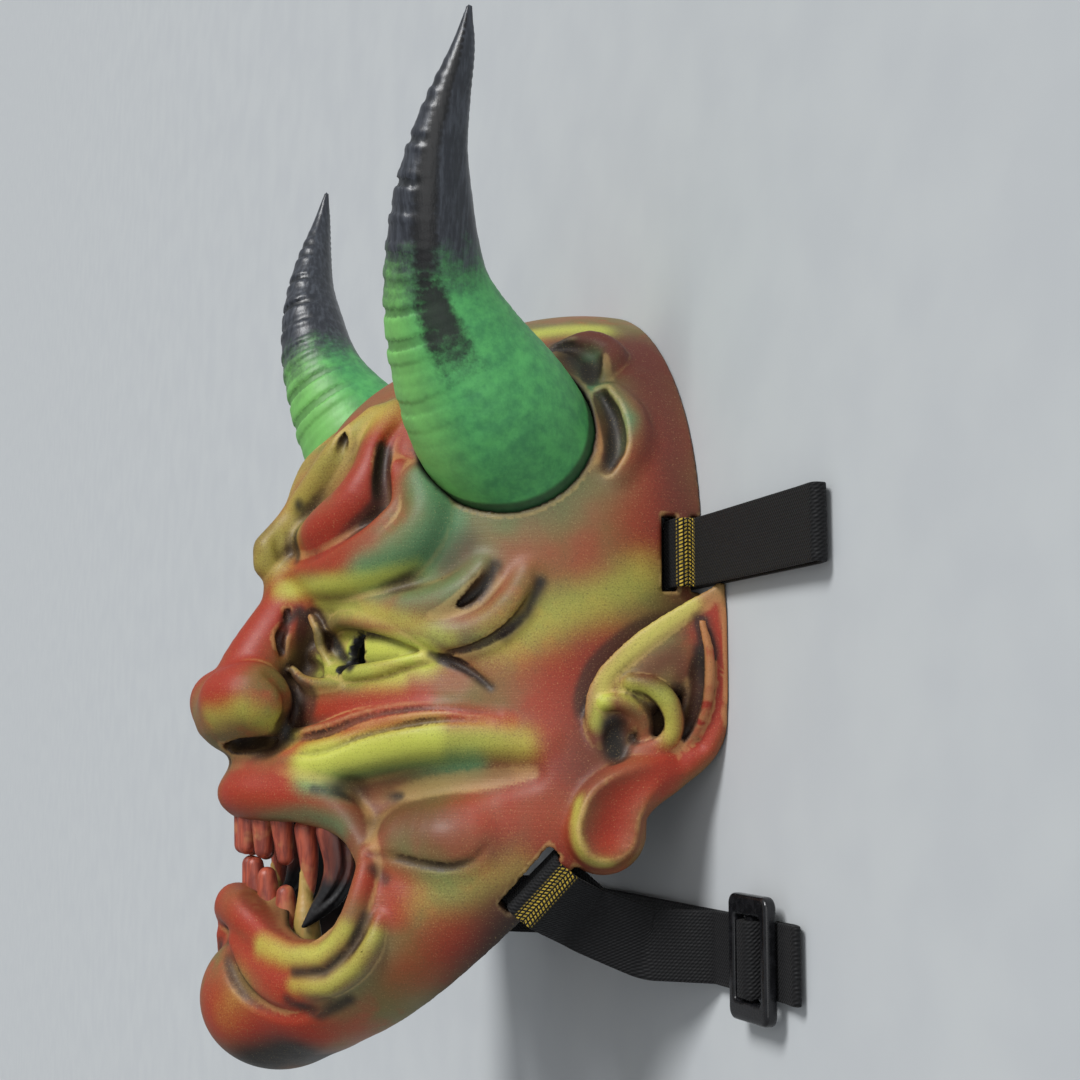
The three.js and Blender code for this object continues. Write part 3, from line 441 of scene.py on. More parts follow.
def ring_height(run, forward):
    """Growth rings, strong in front and faint behind, that end before the tip."""
    scallop = ring_phase(run) ** 0.8
    fade = smooth_step(14, 34, run) * (1 - smooth_step(90, 134, run))
    reach = 0.1 + 0.9 * smooth_step(0.15, 0.85, forward)
    return 1.1 * (scallop - 0.6) * fade * reach


def horn(points):
    gap, radius, run, forward = along_horn(folded(points.astype(float)))[:4]
    keel = 0.6 * smooth_step(0.7, 1, -forward) * smooth_step(10, 40, run)
    thickness = 1 - smooth_step(125, 150, run)
    body = gap - radius - (ring_height(run, forward) + keel) * thickness
    return np.maximum(body, -(head(points) + 2.7)).astype(SMALL)


def horn_socket(points):
    at = folded(points.astype(float))
    if at[:, 1].max() < -16 or at[:, 2].max() < 10:
        return np.full(len(at), 20, SMALL)
    gap, radius = along_horn(at)[:2]
    return np.maximum(gap - radius - FIT_GAP, -(head(points) + SOCKET_DEPTH + 1)).astype(SMALL)


# Strap bars at the rim: a point on the skin by the bar, and axes out, along the rim and inwards
UPPER_BAR = {
    "at": (86.19, -13, 3.7), "out": (0.9995, 0.0143, 0.0265), "along": (-0.0143, 0.9999, 0),
    "into": (-0.0265, 0, 0.9996),
}
LOWER_BAR = {
    "at": (79.74, -110, 46.8), "out": (0.89, -0.312, 0.332), "along": (0.452, 0.697, -0.557),
    "into": (-0.0718, 0.623, 0.779),
}
BAR_WIDTH = 4.4
SLOT_WIDTH = 4.5
STRAP_WIDTH = 20
STRAP_THICKNESS = 1.4
SLOT_LENGTH = STRAP_WIDTH + 2


def slot_block(bar, low, high, length, deep=13):
    middle = np.array(bar["at"]) + np.array(bar["into"]) * ((low + high) / 2)
    half = (deep / 2, length / 2, (high - low) / 2)
    return block(middle, (bar["out"], bar["along"], bar["into"]), half)


SLOTS = [
    slot_block(UPPER_BAR, BAR_WIDTH, BAR_WIDTH + SLOT_WIDTH, SLOT_LENGTH),
    slot_block(LOWER_BAR, BAR_WIDTH, BAR_WIDTH + SLOT_WIDTH, SLOT_LENGTH),
    slot_block(UPPER_BAR, -8, 0, SLOT_LENGTH),
]

GUMS = rolls([
    ("add", 2, [(0, -85, 108, 6), (14, -85, 104, 6), (26, -88, 94, 6), (34, -93, 82, 6)]),
    ("add", 2, [(0, -122, 112, 5.5), (14, -125, 105, 5.5), (25, -130, 93, 5.5), (33, -127, 80, 5.5)]),
])
TEETH = rolls([
    ("add", 0.4, [(3, -89, 116, 3.6), (3, -98.5, 116.5, 2.8)]),
    ("add", 0.4, [(9, -89.5, 113, 3.6), (9, -99.5, 112.5, 2.8)]),
    ("add", 0.4, [(15, -90, 108.5, 3.6), (15, -101.5, 107, 2.6)]),
    ("add", 0.4, [(21.5, -93, 102.5, 3.4), (22, -101, 101.5, 3), (22, -109, 101, 2),
        (22, -114.5, 101, 0.7)]),
    ("add", 0.4, [(3.3, -114, 113, 3.5), (3.3, -104.5, 114, 2.7)]),
    ("add", 0.4, [(10, -117, 110.5, 3.8), (10, -107.5, 111.5, 2.9)]),
    ("add", 0.4, [(16, -122, 106.5, 4), (16, -112.5, 107, 2.8)]),
])
UPPER_FANG = rolls([
    ("add", 0.4, [(30, -93, 95.5, 5.6), (31, -103, 93.5, 5.3), (30.5, -111, 96, 4.1),
        (29, -117, 100.5, 2.4), (28, -121, 104, 0.7)]),
    ("cut", 0.8, [(36, -95, 94, 1.2), (36.5, -104, 93.5, 1.3), (34.5, -111, 96.5, 1),
        (32, -116, 101, 0.5)]),
])
LOWER_FANG = rolls([
    ("add", 0.4, [(23, -128, 101.5, 4.5), (23, -120, 102, 3.8), (22, -112, 102.5, 2),
        (22, -106, 103.5, 0.7)]),
])
gums = Carving(GUMS)
upper_fang = Carving(UPPER_FANG)
lower_fang = Carving(LOWER_FANG)
incisors = Carving(TEETH)


def teeth(points):
    return np.minimum(np.minimum(incisors(points), upper_fang(points)), lower_fang(points))


def skin(points):
    bald = head(points)
    carved = smooth_min(face(points), bald + LEAST_WALL, 0.6)
    result = smooth_max(carved, -(bald + WALL), 0.5)
    at = folded(points)
    outline = polygon_distance(at[:, 0], at[:, 1], MOUTH)
    mouth = np.maximum(outline, MOUTH_BACK - at[:, 2])
    result = smooth_max(result, -mouth, 2)
    behind_lips = np.maximum(np.maximum(outline - 6, carved + 3.6), MOUTH_BACK + 2 - at[:, 2])
    result = smooth_max(result, -behind_lips, 1)
    result = np.maximum(result, -pupil(points))
    result = smooth_max(result, rim_cut(points), 0.6)
    result = smooth_min(result, ear(points), 1.5)
    for shape, low, high in SLOTS:
        result = np.maximum(result, -shape(at))
    result = smooth_max(result, -horn_socket(points), 1)
    return np.maximum(result, -points[:, 2])


def mouth_set(points):
    """Teeth on their gums, kept clear of the shell's outside."""
    rows = smooth_max(gums(points), -(head(points) + 9), 1)
    return smooth_min(rows, teeth(points), 0.8)


# Surfaces

def evaluate(field, points):
    """A field at loose points, in groups that lie together."""
    points = np.asarray(points, SMALL)
    order = np.lexsort(np.floor(points / 16).T)
    out = np.empty(len(points), SMALL)
    keys = np.floor(points[order] / 16)
    breaks = np.nonzero(np.any(np.diff(keys, axis=0) != 0, axis=1))[0] + 1
    groups = np.split(order, breaks)

    def work(rows):
        return rows, field(points[rows])

    with ThreadPoolExecutor(4) as pool:
        for rows, values in pool.map(work, groups):
            out[rows] = values
    return out


def sample(field, low, high, step, cells=6):
    """Field values near its surface on a regular grid, other places filled from a coarse one."""
    low = np.asarray(low, float)
    count = np.ceil((np.asarray(high, float) - low) / (step * cells)).astype(int)
    corners = np.stack(np.meshgrid(*[np.arange(k) for k in count], indexing="ij"), -1).reshape(-1, 3)
    middles = (low + (corners + 0.5) * step * cells).astype(SMALL)
    with ThreadPoolExecutor(4) as pool:
        coarse = np.concatenate(list(pool.map(field, np.array_split(middles, 16))))
    near = np.abs(coarse) < step * cells * 1.25
    values = np.empty(count * cells + 1, SMALL)
    filled = coarse.reshape(count)
    for axis in range(3):
        filled = np.repeat(filled, cells, axis)
    values[:-1, :-1, :-1] = filled
    values[-1] = values[-2]
    values[:, -1] = values[:, -2]
    values[:, :, -1] = values[:, :, -2]
    inner = np.stack(np.meshgrid(*[np.arange(cells + 1)] * 3, indexing="ij"), -1).reshape(-1, 3)
    chosen = corners[near]
    keys = chosen // 3
    order = np.lexsort(keys.T)
    chosen = chosen[order]
    keys = keys[order]
    breaks = np.nonzero(np.any(np.diff(keys, axis=0) != 0, axis=1))[0] + 1

    def work(rows):
        places = (rows[:, None, :] * cells + inner[None]).reshape(-1, 3)
        return places, field((low + places * step).astype(SMALL))

    with ThreadPoolExecutor(4) as pool:
        for places, found in pool.map(work, np.split(chosen, breaks)):
            values[places[:, 0], places[:, 1], places[:, 2]] = found
    return values


SAMPLED = {}


def sampled_at(name, points):
    """A carved field read back between its grid's cells."""
    values, low, step = SAMPLED[name]
    place = (points - low) / step
    place = np.clip(place, 0, np.array(values.shape) - 1.001)
    whole = place.astype(int)
    share = place - whole
    out = np.zeros(len(points))
    for corner in np.ndindex(2, 2, 2):
        weight = np.abs(1 - np.array(corner) - share).prod(1)
        i, j, k = (whole + corner).T
        out += weight * values[i, j, k]
    return out


def add_mesh(name, points, faces):
    mesh = bpy.data.meshes.new(name)
    mesh.from_pydata(to_metres(points).tolist(), [], faces)
    mesh.validate()
    mesh.update()
    mesh.polygons.foreach_set("use_smooth", np.ones(len(mesh.polygons), bool))
    piece = bpy.data.objects.new(name, mesh)
    bpy.context.scene.collection.objects.link(piece)
    return piece


def drawn_places(mesh):
    """Vertices of a mesh in the drawing's millimetres."""
    flat = np.empty(len(mesh.vertices) * 3, SMALL)
    mesh.vertices.foreach_get("co", flat)
    return flat.reshape(-1, 3).astype(float) * 1000 + (0, RIM_TOP, 0)


def normals_of(mesh):
    flat = np.empty(len(mesh.vertices) * 3, SMALL)
    mesh.vertex_normals.foreach_get("vector", flat)
    return flat.reshape(-1, 3)


def carve(name, field, low, high, step, mirrored=False, most=None):
    """A closed smooth mesh of a field, on one side of the middle or on both."""
    low = np.asarray(low, float)
    values = sample(field, low, high, step)
    band = SMALL(7)
    values = np.clip(values, -band, band)
    if mirrored:
        values = np.concatenate([values[:0:-1], values])
        low[0] = -(values.shape[0] // 2) * step
    SAMPLED[name] = (values, low.copy(), step)
    grid = openvdb.FloatGrid(float(band))
    grid.copyFromArray(values)
    points, triangles, quads = grid.convertToPolygons(0.0, 0.0)
    faces = [tuple(face) for face in triangles.tolist()] + [tuple(face) for face in quads.tolist()]
    piece = add_mesh(name, points * step + low, faces)
    if most:
        triangles_now = len(triangles) + 2 * len(quads)
        thin = piece.modifiers.new("thin", "DECIMATE")
        thin.ratio = min(1, most / triangles_now)
        apply_modifiers(piece)
    return piece


def thin_out(piece, most, loose):
    """Fewer triangles, taken first where loose is 1."""
    mesh = piece.data
    mesh.calc_loop_triangles()
    group = piece.vertex_groups.new(name="loose")
    for share, chosen in ((0.05, loose <= 0.5), (1.0, loose > 0.5)):
        group.add(np.nonzero(chosen)[0].tolist(), share, "REPLACE")
    thin = piece.modifiers.new("thin", "DECIMATE")
    thin.ratio = min(1, most / len(mesh.loop_triangles))
    thin.vertex_group = group.name
    thin.vertex_group_factor = 1.0
    apply_modifiers(piece)
    piece.vertex_groups.clear()


def apply_modifiers(piece):
    depsgraph = bpy.context.evaluated_depsgraph_get()
    made = bpy.data.meshes.new_from_object(piece.evaluated_get(depsgraph))
    old = piece.data
    piece.modifiers.clear()
    piece.data = made
    bpy.data.meshes.remove(old)


def paint_layer(mesh, name, values):
    layer = mesh.attributes.new(name, "FLOAT", "POINT")
    layer.data.foreach_set("value", np.asarray(values, SMALL))


# Skin

def make_skin():
    piece = carve("mask_skin", skin, (0, -168, -1), (106, 86, 136), SKIN_STEP, True)
    places = drawn_places(piece.data)
    wall = head(places.astype(SMALL))
    thin_out(piece, SKIN_TRIANGLES, np.abs(wall + WALL) < 0.5)
    mesh = piece.data
    places = drawn_places(mesh)
    normals = normals_of(mesh)
    near = sampled_at("mask_skin", places + normals * 1.8) / 1.8
    far = sampled_at("mask_skin", places + normals * 5.5) / 5.5
    below = -sampled_at("mask_skin", places - normals * 1.6) / 1.6
    wall = head(places.astype(SMALL))
    towards = head((places + normals).astype(SMALL)) - wall
    inner = (1 - smooth_step(0.3, 1.2, np.abs(wall + WALL))) * smooth_step(0.1, 0.5, -towards)
    lips = polygon_distance(np.abs(places[:, 0]), places[:, 1], MOUTH)
    cut = (1 - smooth_step(0.6, 1.6, np.abs(lips))) * (places[:, 2] > 62)
    cut *= 1 - smooth_step(0.25, 0.7, np.abs(normals[:, 2]))
    # Painted shade in creases and hollows and a painted highlight along crests, from how sunken or raised
    # the skin is round each vertex
    paint_layer(mesh, "crease", 1 - smooth_step(0.3, 0.9, near))
    paint_layer(mesh, "hollow", 1 - smooth_step(0.25, 0.95, far))
    paint_layer(mesh, "painted_crest_highlight", 1 - smooth_step(0.55, 0.97, below))
    paint_layer(mesh, "inside", np.maximum(inner, 0))
    paint_layer(mesh, "lip_cut", cut)
    places[:, 0] = np.abs(places[:, 0])
    # The black layer: deep in the mouth and on the eye slits' walls, part black paint and part painted
    # shade; round each horn's root, a painted shadow line
    mouth = np.nonzero((lips < 7) & (places[:, 2] > 60))[0]
    hidden = np.zeros(len(places))
    hidden[mouth] = smooth_step(1.4, 3.0, -evaluate(face, places[mouth]))
    slit = (1 - smooth_step(0.2, 0.8, pupil(places.astype(SMALL)))) * (places[:, 2] > 60)
    horn_root_shadow = np.zeros(len(places))
    seat = np.nonzero(places[:, 1] > -12)[0]
    gap = np.abs(horn_socket(places[seat].astype(SMALL)))
    horn_root_shadow[seat] = 1 - smooth_step(0.3, 2.2, gap)
    paint_layer(mesh, "black", np.maximum(np.maximum(hidden, slit), horn_root_shadow))
    for colour in SPRAYS:
        paint_layer(mesh, colour, sprayed(colour, places))
    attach(piece, "root")
    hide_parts("mask_shell")
    piece.data.materials.append(skin_material())


# Sprayed paint of each colour: reach of the spray, strength and the path it follows over the skin. The dark
# and brown sprays also carry painted shade: in slits, grooves, under the cheek pad and the chin, and
# darkening the temples, jaw and sides towards the rim.
SPRAYS = {
    "yellow": [
        (6, 1.1, [(26, -40, 91), (43, -40.5, 84), (56, -42, 76)]),
        (4, 0.75, [(6, -20, 107), (30, -20.5, 98), (44, -20, 88), (54, -18, 79)]),
        (6.5, 0.95, [(33, -72.5, 105), (42, -71.5, 97), (54, -69, 86), (63, -67, 76)]),
        (6, 0.6, [(63, -68, 76), (71, -67, 64), (77, -68, 54)]),
        (4, 0.5, [(18, -25, 98), (41, -29, 89), (58, -34, 78), (65, -38, 71)]),
        (5, 0.7, [(14, -45, 97), (41, -47, 91), (50, -47, 82)]),
        (5, 0.55, [(14, -60, 130), (24, -58, 123), (24, -61, 113), (21, -66, 107)]),
        (4, 0.62, [(27, -126, 116), (38, -128, 111), (48, -126.5, 104.5), (54, -120, 98)]),
        (3.5, 0.55, [(41, -136, 109), (50, -136, 102.5), (56, -130, 96), (59, -121, 91)]),
        (3.2, 0.85, [(88, -62, 35), (89, -50, 33), (92, -39, 23), (97, -29, 10)]),
        (4, 0.6, [(91, -53, 27), (96, -56, 18), (96, -66, 16)]),
        (3, 0.6, [(90, -84, 42), (92, -92, 44), (92, -100, 41), (94, -102, 34)]),
        (9, 0.5, [(70, -38, 57), (75, -33, 47), (81, -27, 31), (83, -20, 20)]),
        (8, 0.3, [(64, -111, 79), (72, -108, 67), (79, -103, 55)]),
        (6, 0.7, [(35, 60, 39), (39, 62, 28), (44, 62, 16)]),
        (9, 0.5, [(5, -11, 111), (8, 8, 103), (22, 26, 92), (31, 36, 82)]),
        (8, 0.3, [(20, -139, 121), (15, -146, 124)]),
    ],
    # brown: maroon paint, and painted shade darkening the temples, jaw and sides towards the rim
    "brown": [
        (5, 0.8, [(93, -50, 24), (97, -43, 15), (97, -48, 12)]),
        (14, 0.9, [(59, 53, 22), (56, 53, 7), (69, 38, 8), (80, 18, 10), (83, -8, 10)]),
        (12, 0.8, [(84, -101, 42), (80, -108, 50), (66, -124, 66)]),
        (10, 0.8, [(84, -15, 7), (96, -31, 10)]),
        (12, 0.8, [(75, -72, 53), (84, -75, 39), (84, -60, 38), (84, -44, 32)]),
        (10, 0.6, [(77, -97, 60), (82, -97, 50), (83, -105, 41)]),
        (12, 0.6, [(40, -93, 96), (50, -88, 84), (68, -89, 75)]),
        (8, 0.7, [(60, -72, 72), (71, -74, 58), (83, -74, 44)]),
    ],
    "green": [
        (9, 0.9, [(53, 10, 73), (58, -3, 70), (53, -14, 78), (44, -18, 89)]),
        (8, 0.6, [(66, -15, 62), (65, -24, 70), (54, -25, 80)]),
        (5, 0.9, [(57, 48, 25), (68, 36, 27), (78, 26, 22), (76, 18, 22)]),
        (5.5, 1, [(32, -79, 103), (43, -78, 93), (55, -75, 82), (68, -73, 66)]),
        (7, 0.5, [(44, -140, 100), (52, -135, 93), (59, -125, 88)]),
        (5, 0.6, [(17, -90, 112), (32, -88, 104), (41, -92, 97)]),
        (12, 0.5, [(58, -3, 69), (67, 0, 57), (75, 2, 41), (79, 8, 30)]),
        (6, 0.5, [(54, -39, 80), (66, -37, 71), (70, -39, 64)]),
        (8, 0.4, [(60, -98, 84), (69, -107, 72)]),
    ],
    "red": [
        (10, 1, [(35, 30, 81), (41, 14, 88), (37, -1, 95), (25, -8, 102)]),
        (7, 0.8, [(10, -11, 103), (32, -13, 99), (44, -10, 91)]),
        (11, 1, [(8, -22, 106), (5, -36, 117), (18, -52, 130)]),
        (6, 0.8, [(17, -59, 104), (36, -57, 93), (57, -56, 77)]),
        (4, 0.9, [(24, -69, 108), (37, -66, 99), (49, -62, 87), (63, -60, 73), (74, -62, 56)]),
        (9, 0.9, [(7, -82, 123), (18, -81, 116), (32, -81, 107)]),
        (8, 0.9, [(0, -117, 120), (32, -121, 117), (37, -120, 107)]),
        (8, 0.9, [(8, -126, 119), (31, -130, 114), (38, -138, 110)]),
        (12, 0.9, [(11, -146, 126), (21, -151, 118), (36, -149, 106)]),
        (12, 0.6, [(78, 23, 24), (80, 5, 22), (82, -9, 20)]),
        (12, 0.6, [(81, -39, 31), (78, -50, 42), (79, -67, 49)]),
        (9, 0.8, [(56, -106, 91), (60, -109, 84), (59, -114, 86)]),
        (12, 0.6, [(57, -128, 89), (60, -131, 78), (67, -122, 71)]),
        (12, 0.6, [(71, -84, 64), (81, -81, 50), (84, -94, 45)]),
        (7, 1, [(99, -33, 4), (100, -50, 2), (97, -67, 8), (92, -77, 19), (89, -83, 29), (89, -94, 33)]),
        (10, 0.4, [(77, -16, 42), (81, -10, 28)]),
    ],
    # dark: dark paint in slits and grooves, and painted shade there, under the cheek pad and under the chin
    "dark": [
        (2.5, 1, [(62, -28, 66), (65, -24, 61), (67, -17, 58)]),
        (2.5, 1, [(70, -37, 56), (72, -31, 50), (74, -22, 47)]),
        (7, 0.6, [(58, -15, 69), (61, -10, 65)]),
        (2.5, 0.8, [(10, -27, 103), (9, -30, 107)]),
        (2.5, 1, [(13, -51, 106), (17, -57, 106), (20, -65, 109)]),
        (2.2, 1, [(18, -36, 94), (22, -41, 92), (36, -45, 93)]),
        (2.8, 1, [(37, 21, 84), (40, 11, 86), (42, 4, 86)]),
        (1.9, 0.8, [(35, -81, 103), (40, -83, 93), (47, -83, 80)]),
        (11, 1, [(0, -163, 114), (12, -161, 112), (24, -157, 105)]),
        (14, 0.9, [(21, -160, 103), (0, -160, 67), (50, -139, 60), (73, -120, 50)]),
        (2.2, 0.8, [(41, -132.5, 109), (49, -131.5, 102.5), (54.5, -125, 96), (56, -116, 92.5)]),
        (2.5, 0.8, [(38, -140, 110), (42, -145, 102), (48, -140, 95)]),
        (2.5, 0.8, [(7, 7, 103), (8, -4, 105), (10, -11, 103)]),
        (1.2, 0.35, [(50, -98, 91), (58, -101, 83), (67, -102, 74), (73, -100, 65)]),
        (1.9, 0.8, [(57, -42, 74), (63, -47, 66), (69, -52, 60)]),
        (2.5, 0.7, [(54, -103, 90), (56, -106, 87)]),
        (3.1, 0.9, [(97, -42, 7), (97, -53, 6), (93, -65, 9)]),
        (4.6, 1, [(87, -63, 30), (86, -70, 29)]),
        (2.5, 0.9, [(69, 34, 24), (72, 26, 23), (77, 13, 26)]),
        (6, 0.8, [(51, 54, 32), (61, 43, 26)]),
        (3.1, 0.75, [(36, -81, 99), (50, -81, 86), (63, -78, 72), (75, -76, 58)]),
        (2.8, 1, [(5, -67, 120), (12, -66, 115), (10, -60, 113)]),
    ],
}


def sprayed(colour, places):
    cover = np.zeros(len(places))
    for reach, strength, path in SPRAYS[colour]:
        line = np.asarray(path, float)
        nearest = np.full(len(places), 1e9)
        for a, b in zip(line[:-1], line[1:]):
            span = b - a
            share = np.clip((places - a) @ span / (span @ span), 0, 1)
            away = places - a - share[:, None] * span
            nearest = np.minimum(nearest, (away * away).sum(1))
        falloff = np.exp(-0.8 * nearest / (reach * reach))
        cover = np.maximum(cover, strength * falloff)
    return cover


# Materials

def tone(red, green, blue):
    """A colour given as seen on a screen, 0 to 255, as a linear colour."""
    shares = np.array([red, green, blue]) / 255
    linear = np.where(shares <= 0.04045, shares / 12.92, ((shares + 0.055) / 1.055) ** 2.4)
    return (*linear.tolist(), 1)


class Finish:
    """Short calls for building one material's nodes."""

    def __init__(self, name):
        self.material = bpy.data.materials.new(name)
        self.material.use_nodes = True
        self.tree = self.material.node_tree
        self.shader = self.tree.nodes["Principled BSDF"]
        self.place = self.tree.nodes.new("ShaderNodeTexCoord").outputs["Object"]

    def link(self, value, socket):
        if isinstance(value, bpy.types.NodeSocket):
            self.tree.links.new(value, socket)
        else:
            socket.default_value = value

    def layer(self, name):
        node = self.tree.nodes.new("ShaderNodeAttribute")
        node.attribute_name = name
        return node.outputs["Fac"]

    def noise(self, scale, detail=3.0, roughness=0.5, stretch=(1, 1, 1), seed=0.0):
        turn = self.tree.nodes.new("ShaderNodeMapping")
        turn.inputs["Scale"].default_value = stretch
        turn.inputs["Location"].default_value = (seed, seed * 0.7, -seed)
        self.link(self.place, turn.inputs["Vector"])
        node = self.tree.nodes.new("ShaderNodeTexNoise")
        node.inputs["Scale"].default_value = scale
        node.inputs["Detail"].default_value = detail
        node.inputs["Roughness"].default_value = roughness
        self.link(turn.outputs["Vector"], node.inputs["Vector"])
        return node.outputs["Fac"]

    def math(self, operation, a, b=0.0, c=0.0):
        node = self.tree.nodes.new("ShaderNodeMath")
        node.operation = operation
        self.link(a, node.inputs[0])
        self.link(b, node.inputs[1])
        self.link(c, node.inputs[2])
        return node.outputs[0]

    def times(self, a, b):
        return self.math("MULTIPLY", a, b)

    def roughened(self, value, noise, amount):
        return self.math("MULTIPLY_ADD", self.math("SUBTRACT", noise, 0.5), amount, value)

    def ramp(self, value, low, high, start=0.0, end=1.0):
        node = self.tree.nodes.new("ShaderNodeMapRange")
        node.interpolation_type = "SMOOTHSTEP"
        self.link(value, node.inputs["Value"])
        node.inputs["From Min"].default_value = low
        node.inputs["From Max"].default_value = high
        node.inputs["To Min"].default_value = start
        node.inputs["To Max"].default_value = end
        return node.outputs["Result"]

    def mix(self, share, a, b):
        node = self.tree.nodes.new("ShaderNodeMix")
        node.data_type = "RGBA"
        self.link(share, node.inputs["Factor"])
        self.link(a, node.inputs["A"])
        self.link(b, node.inputs["B"])
        return node.outputs["Result"]

    def bump(self, height, depth, strength=1.0, under=None):
        node = self.tree.nodes.new("ShaderNodeBump")
        node.inputs["Distance"].default_value = depth
        node.inputs["Strength"].default_value = strength
        self.link(height, node.inputs["Height"])
        if under is not None:
            self.link(under, node.inputs["Normal"])
        return node.outputs["Normal"]

    def finish(self, colour, roughness, normal=None):
        self.link(colour, self.shader.inputs["Base Color"])
        self.link(roughness, self.shader.inputs["Roughness"])
        if normal is not None:
            self.link(normal, self.shader.inputs["Normal"])
        return self.material


def skin_material():
    """Airbrushed skin: mottled ground, sprayed colours with soft speckled edges, painted shade in creases,
    hollows and slits, and a painted highlight on crests.
    """
    paint = Finish("painted_skin")
    cloud = paint.noise(26, 3, 0.55)
    drift = paint.noise(60, 4, 0.6, seed=3)
    grain = paint.noise(2200, 2, 0.7)
    layers = paint.noise(320, 2, 0.5, (0.12, 4.2, 0.12), 5)

    def mask(name, low, high, ragged=0.3):
        uneven = paint.roughened(paint.layer(name), drift, ragged)
        return paint.ramp(paint.roughened(uneven, grain, 0.3), low, high)

    ground = paint.mix(paint.ramp(cloud, 0.38, 0.62), tone(142, 84, 52), tone(112, 102, 54))
    ground = paint.mix(paint.ramp(drift, 0.5, 0.75), ground, tone(156, 74, 48))
    # Brown spray: maroon paint, and painted shade darkening the temples, jaw and sides towards the rim
    colour = paint.mix(mask("brown", 0.05, 1.0), ground, tone(100, 44, 34))
    colour = paint.mix(mask("red", 0.05, 0.95), colour, tone(156, 46, 24))
    colour = paint.mix(mask("green", 0.08, 1.0), colour, tone(80, 126, 84))
    yellow = paint.times(mask("yellow", 0.05, 1.0), 0.94)
    colour = paint.mix(yellow, colour, tone(192, 198, 82))
    # Painted highlight: a pale tint along the skin's crests
    painted_crest_highlight = paint.times(paint.ramp(paint.layer("painted_crest_highlight"), 0.35, 1), 0.35)
    colour = paint.mix(painted_crest_highlight, colour, tone(214, 180, 112))
    # Painted shade in the hollows, mostly left off where the yellow paint lies
    bare = paint.math("MULTIPLY_ADD", paint.ramp(paint.layer("yellow"), 0.5, 1), -0.75, 1.0)
    hollow = paint.times(paint.ramp(paint.layer("hollow"), 0.15, 0.95), 0.8)
    colour = paint.mix(paint.times(hollow, bare), colour, tone(58, 38, 26))
    # Dark spray: dark paint in slits and grooves, and painted shade there, under the cheek pad and under
    # the chin
    colour = paint.mix(mask("dark", 0.15, 0.95, 0.2), colour, tone(34, 30, 25))
    # Painted shade in the creases, mostly left off where the yellow paint lies
    crease = paint.times(paint.ramp(paint.layer("crease"), 0.3, 0.95), 0.7)
    colour = paint.mix(paint.times(crease, bare), colour, tone(44, 24, 18))
    dust = paint.ramp(grain, 0.46, 0.3, 0, 0.34)
    colour = paint.mix(dust, colour, tone(52, 34, 22))
    speck = paint.ramp(grain, 0.58, 0.74, 0, 0.28)
    colour = paint.mix(speck, colour, tone(206, 176, 120))
    colour = paint.mix(paint.times(paint.layer("lip_cut"), 0.6), colour, tone(92, 38, 26))
    # Black deep in the mouth and on the eye slits' walls, part black paint and part painted shade, and a
    # painted shadow line round each horn's root
    colour = paint.mix(paint.layer("black"), colour, tone(18, 16, 15))
    colour = paint.mix(paint.layer("inside"), colour, tone(40, 38, 37))
    roughness = paint.ramp(drift, 0.3, 0.7, 0.46, 0.6)
    normal = paint.bump(layers, 0.00012, 0.5)
    normal = paint.bump(grain, 0.00006, 0.5, normal)
    paint.shader.inputs["Specular IOR Level"].default_value = 0.4
    return paint.finish(colour, roughness, normal)


# Horns

def make_horns():
    left = carve("fine_horn_left", horn, (20, -20, 20), (104, 144, 122), 0.75, False, 60000)
    mesh = left.data
    places = drawn_places(mesh)
    run, forward, outward = along_horn(places)[2:]
    paint_layer(mesh, "run", run / 150)
    paint_layer(mesh, "forward", forward * 0.5 + 0.5)
    paint_layer(mesh, "outward", outward * 0.5 + 0.5)
    paint_layer(mesh, "ring", ring_phase(run))
    # root: painted shade near the skin, strongest where the horn meets it
    paint_layer(mesh, "root", 1 - smooth_step(0.5, 3, evaluate(head, places)))
    mesh.materials.append(horn_material())
    other = mesh.copy()
    other.name = "fine_horn_right"
    other.transform(Matrix.Scale(-1, 4, (1, 0, 0)))
    other.flip_normals()
    right = bpy.data.objects.new("fine_horn_right", other)
    bpy.context.scene.collection.objects.link(right)
    for piece, node in ((left, "horn_left"), (right, "horn_right")):
        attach(piece, "root")
        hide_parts(node)


